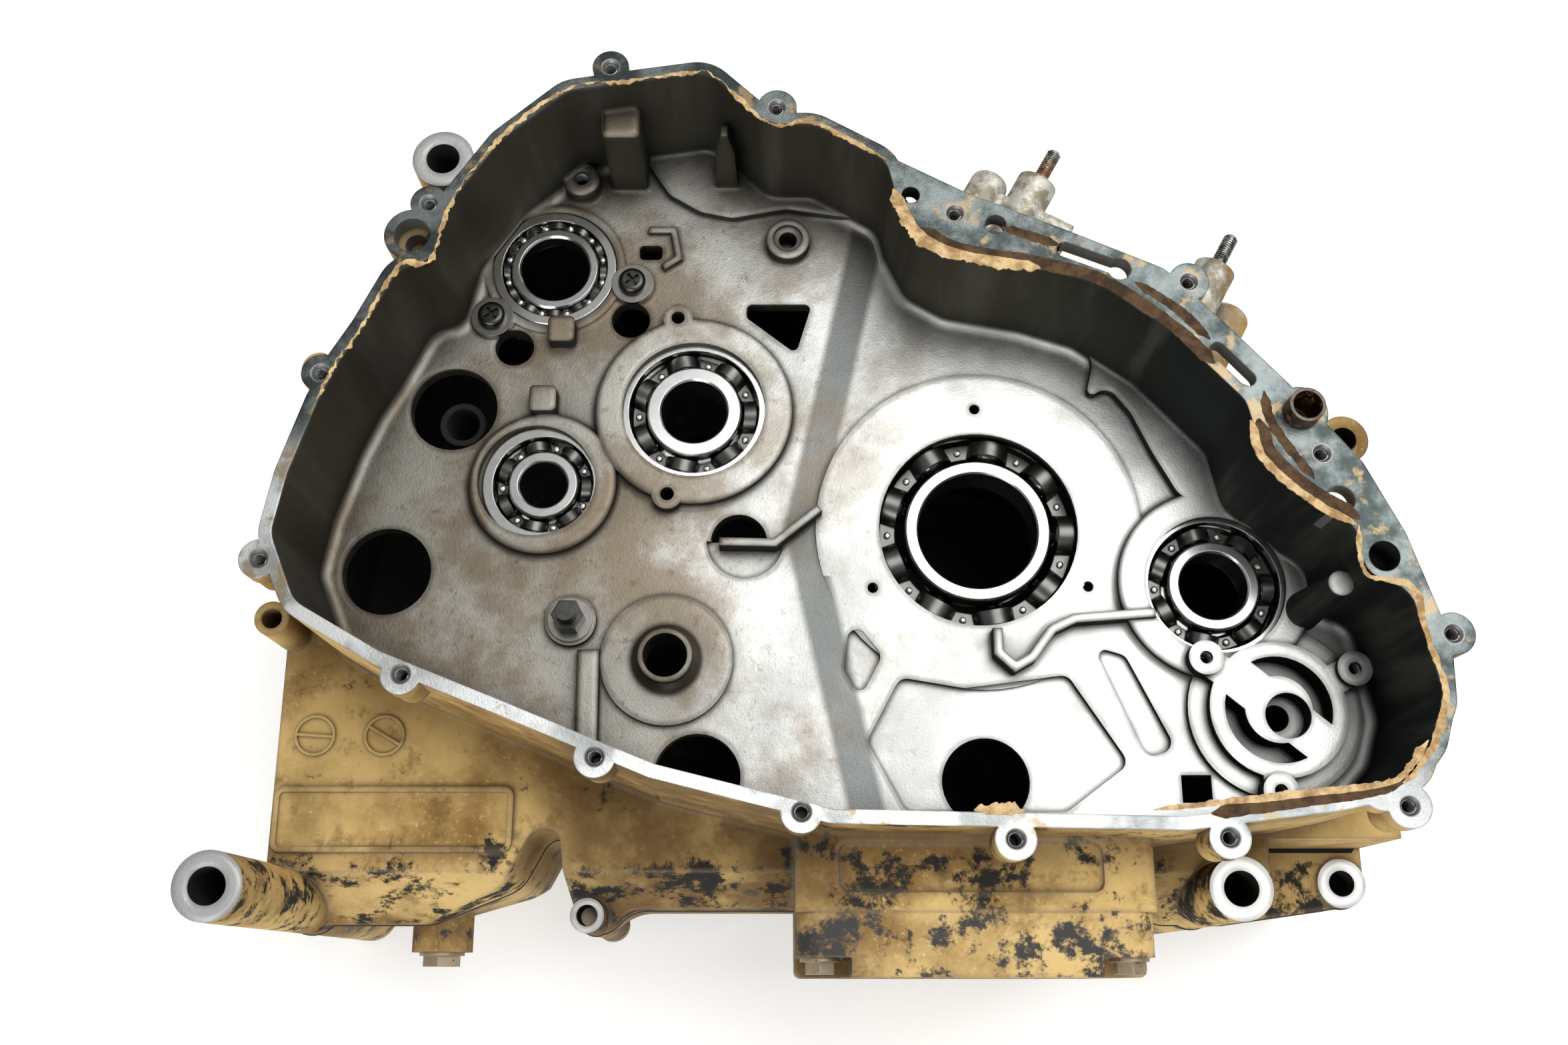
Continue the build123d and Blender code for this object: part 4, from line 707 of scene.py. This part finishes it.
def thread_coil(base, crest, turns, steps=20):
    """A helical thread standing on the Z axis, its foot at the origin."""
    half_height = 0.48 * thread_pitch
    deselect()
    bpy.ops.mesh.primitive_circle_add(vertices=3, radius=1.0, fill_type="NOTHING", location=(0, 0, 0))
    piece = bpy.context.object
    corners = [(base, -half_height), (crest, 0.0), (base, half_height)]
    for vertex, (radius, up) in zip(piece.data.vertices, corners):
        vertex.co = (radius * MM, 0, up * MM)
    turn = piece.modifiers.new("thread", "SCREW")
    turn.axis = "Z"
    turn.screw_offset = thread_pitch * MM
    turn.iterations = turns
    turn.steps = steps
    turn.render_steps = steps
    turn.use_merge_vertices = False
    bpy.ops.object.modifier_apply(modifier=turn.name)
    turn_faces_out(close_ends=True)
    return piece


def place_mesh(piece, matrix):
    """Moves a piece by its mesh, so its object stays at the origin."""
    piece.data.transform(matrix)
    piece.data.update()


def joined(pieces):
    """Several pieces made one."""
    deselect()
    for piece in pieces:
        piece.select_set(True)
    bpy.context.view_layer.objects.active = pieces[0]
    bpy.ops.object.join()
    return bpy.context.object


def hole_threads():
    """Threads in the tapped holes, just inside their walls."""
    off_wall, thread_depth, below_mouth = 0.01, 0.38, 1.6
    coils = []
    for x, y, mouth, radius in tapped_holes:
        turns = 9 if mouth == flange_top else 6
        coil = thread_coil(radius - off_wall, radius - thread_depth, turns)
        foot = mouth - turns * thread_pitch - below_mouth
        place_mesh(coil, Matrix.Translation(Vector((x, y, foot)) * MM))
        coils.append(coil)
    finish_piece(joined(coils), "tapped_threads", "thread")


def side_studs():
    """The two studs beside the cylinder, threaded along what stands out of their bosses."""
    core, crest, root, length, turns = 2.5, 3.0, 2.45, 31.0, 16
    coil_foot, rod_middle, eased, coil_steps = 0.5, 1.5, 0.6, 28
    angle = math.radians(deck_angle)
    across = Vector((math.sin(angle), -math.cos(angle), 0))
    out = Vector((math.cos(angle), math.sin(angle), 0))
    studs = []
    for offset in stud_offsets:
        coil = thread_coil(root, crest, turns, coil_steps)
        place_mesh(coil, Matrix.Translation((0, 0, coil_foot * MM)))
        deselect()
        bpy.ops.mesh.primitive_cylinder_add(vertices=40, radius=core * MM, depth=length * MM,
                                            location=(0, 0, 0))
        rod = bpy.context.object
        place_mesh(rod, Matrix.Translation((0, 0, rod_middle * MM)))
        ease_ends(rod, eased)
        stud = joined([coil, rod])
        frame_of_stud = Matrix((
            (across.x, 0, out.x, 0), (across.y, 0, out.y, 0), (0, 1, 0, 0), (0, 0, 0, 1)))
        foot = (out * deck_distance + across * offset) * MM + Vector((0, 0, stud_height * MM))
        place_mesh(stud, Matrix.Translation(foot) @ frame_of_stud)
        studs.append(stud)
    piece = finish_piece(joined(studs), "threaded_studs", "stud")
    turn_faces_out()
    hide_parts("side_studs")


def wall_post():
    """The tapering post that stands on the floor between the balancer and the front wall."""
    post_x, post_y, foot, top = 131.2, -36.0, floor_top - 1.0, 60.0
    foot_radius, top_radius, eased = 8.0, 4.9, 0.5
    deselect()
    bpy.ops.mesh.primitive_cone_add(vertices=64, radius1=foot_radius * MM, radius2=top_radius * MM,
                                    depth=(top - foot) * MM, location=(0, 0, 0))
    piece = bpy.context.object
    place_mesh(piece, Matrix.Translation(Vector((post_x, post_y, (top + foot) / 2)) * MM))
    ease_ends(piece, eased)
    finish_piece(piece, "wall_post", "case")


def cage_rivets(bearing, x, y, middle, circle, count):
    """Round rivet heads on a bearing's cage, one between each two balls, painted bright as highlights."""
    radius, flatness, above_middle = 1.5, 0.55, 1.5
    heads = []
    for index in range(count):
        turn = 2 * math.pi * (index + 0.5) / count
        deselect()
        bpy.ops.mesh.primitive_uv_sphere_add(segments=20, ring_count=10, radius=radius * MM,
                                             location=(0, 0, 0))
        head = bpy.context.object
        head.data.transform(Matrix.Diagonal((1.0, 1.0, flatness, 1.0)))
        bpy.ops.object.shade_smooth()
        place = (x + circle * math.cos(turn), y + circle * math.sin(turn), middle + above_middle)
        place_mesh(head, Matrix.Translation(Vector(place) * MM))
        heads.append(head)
    piece = finish_piece(joined(heads), bearing + "_cage_rivets", "rivet")
    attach(piece, bearing + "_ball_train")


strips = [torn_strip(*strip) for strip in torn_strips]
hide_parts("gasket_remains")
hole_threads()
side_studs()
wall_post()
for bearing in bearings:
    cage_rivets(*bearing)


# Floor, lights and camera

def studio():
    """A pale floor that shows white, soft lamps and the camera of the photograph."""
    deselect()
    bpy.ops.mesh.primitive_plane_add(size=12.0, location=(0, 0, (rest_height - 0.3) * MM))
    floor = bpy.context.object
    floor.name = "studio_floor"
    made, tree, shader = new_material("pale studio floor", Roughness=0.9)
    shader.inputs["Emission Color"].default_value = rgb(1.0, 1.0, 1.0)
    path = tree.nodes.new("ShaderNodeLightPath")
    seen = sum_of(tree, "MAXIMUM", path.outputs["Is Camera Ray"], path.outputs["Is Glossy Ray"])
    # painted shadow: the floor under the case is near black and does not glow
    under = use_group(tree, places).outputs["Floor shadow"]
    tone = blend_colours(tree, under, rgb(0.86, 0.86, 0.85), rgb(0.03, 0.03, 0.028))
    tree.links.new(tone, shader.inputs["Base Color"])
    lit = sum_of(tree, "MULTIPLY", seen, sum_of(tree, "SUBTRACT", 1.0, under))
    tree.links.new(sum_of(tree, "MULTIPLY", lit, 0.3), shader.inputs["Emission Strength"])
    floor.data.materials.append(made)

    def lamp(name, place, size, power, aim):
        """A soft lamp of so many metres and watts that looks at a point."""
        bpy.ops.object.light_add(type="AREA", location=place)
        light = bpy.context.object
        light.name = name
        light.data.shape = "RECTANGLE"
        light.data.size, light.data.size_y = size
        light.data.energy = power
        light.rotation_euler = (Vector(aim) - Vector(place)).to_track_quat("-Z", "Y").to_euler()

    lamp("softbox_above", (0.45, 0.35, 1.5), (1.2, 1.2), 22.0, (0.0, 0.0, 0.0))
    lamp("softbox_front", (-0.6, -1.3, 1.0), (1.0, 0.8), 14.0, (-0.08, -0.1, 0.0))
    world = bpy.data.worlds.new("studio light")
    world.use_nodes = True
    sky = world.node_tree
    backdrop = sky.nodes["Background"]
    backdrop.inputs["Color"].default_value = rgb(1.0, 1.0, 1.0)
    path = sky.nodes.new("ShaderNodeLightPath")
    strength = between(sky, path.outputs["Is Camera Ray"], 0.0, 1.0, 0.4, 1.0)
    sky.links.new(strength, backdrop.inputs["Strength"])
    bpy.context.scene.world = world

    # the photo's camera, as fitted to the parallel mounting tubes and round edges
    camera_x, camera_y, camera_height, tilt = -81.2, -182.6, 621.5, 16.9
    bpy.ops.object.camera_add(location=(camera_x * MM, camera_y * MM, camera_height * MM),
                              rotation=(math.radians(tilt), 0, 0))
    camera = bpy.context.object
    camera.data.lens = 34.96
    camera.data.sensor_width = 36.0
    bpy.context.scene.camera = camera
    bpy.context.scene.view_settings.view_transform = "Standard"


studio()
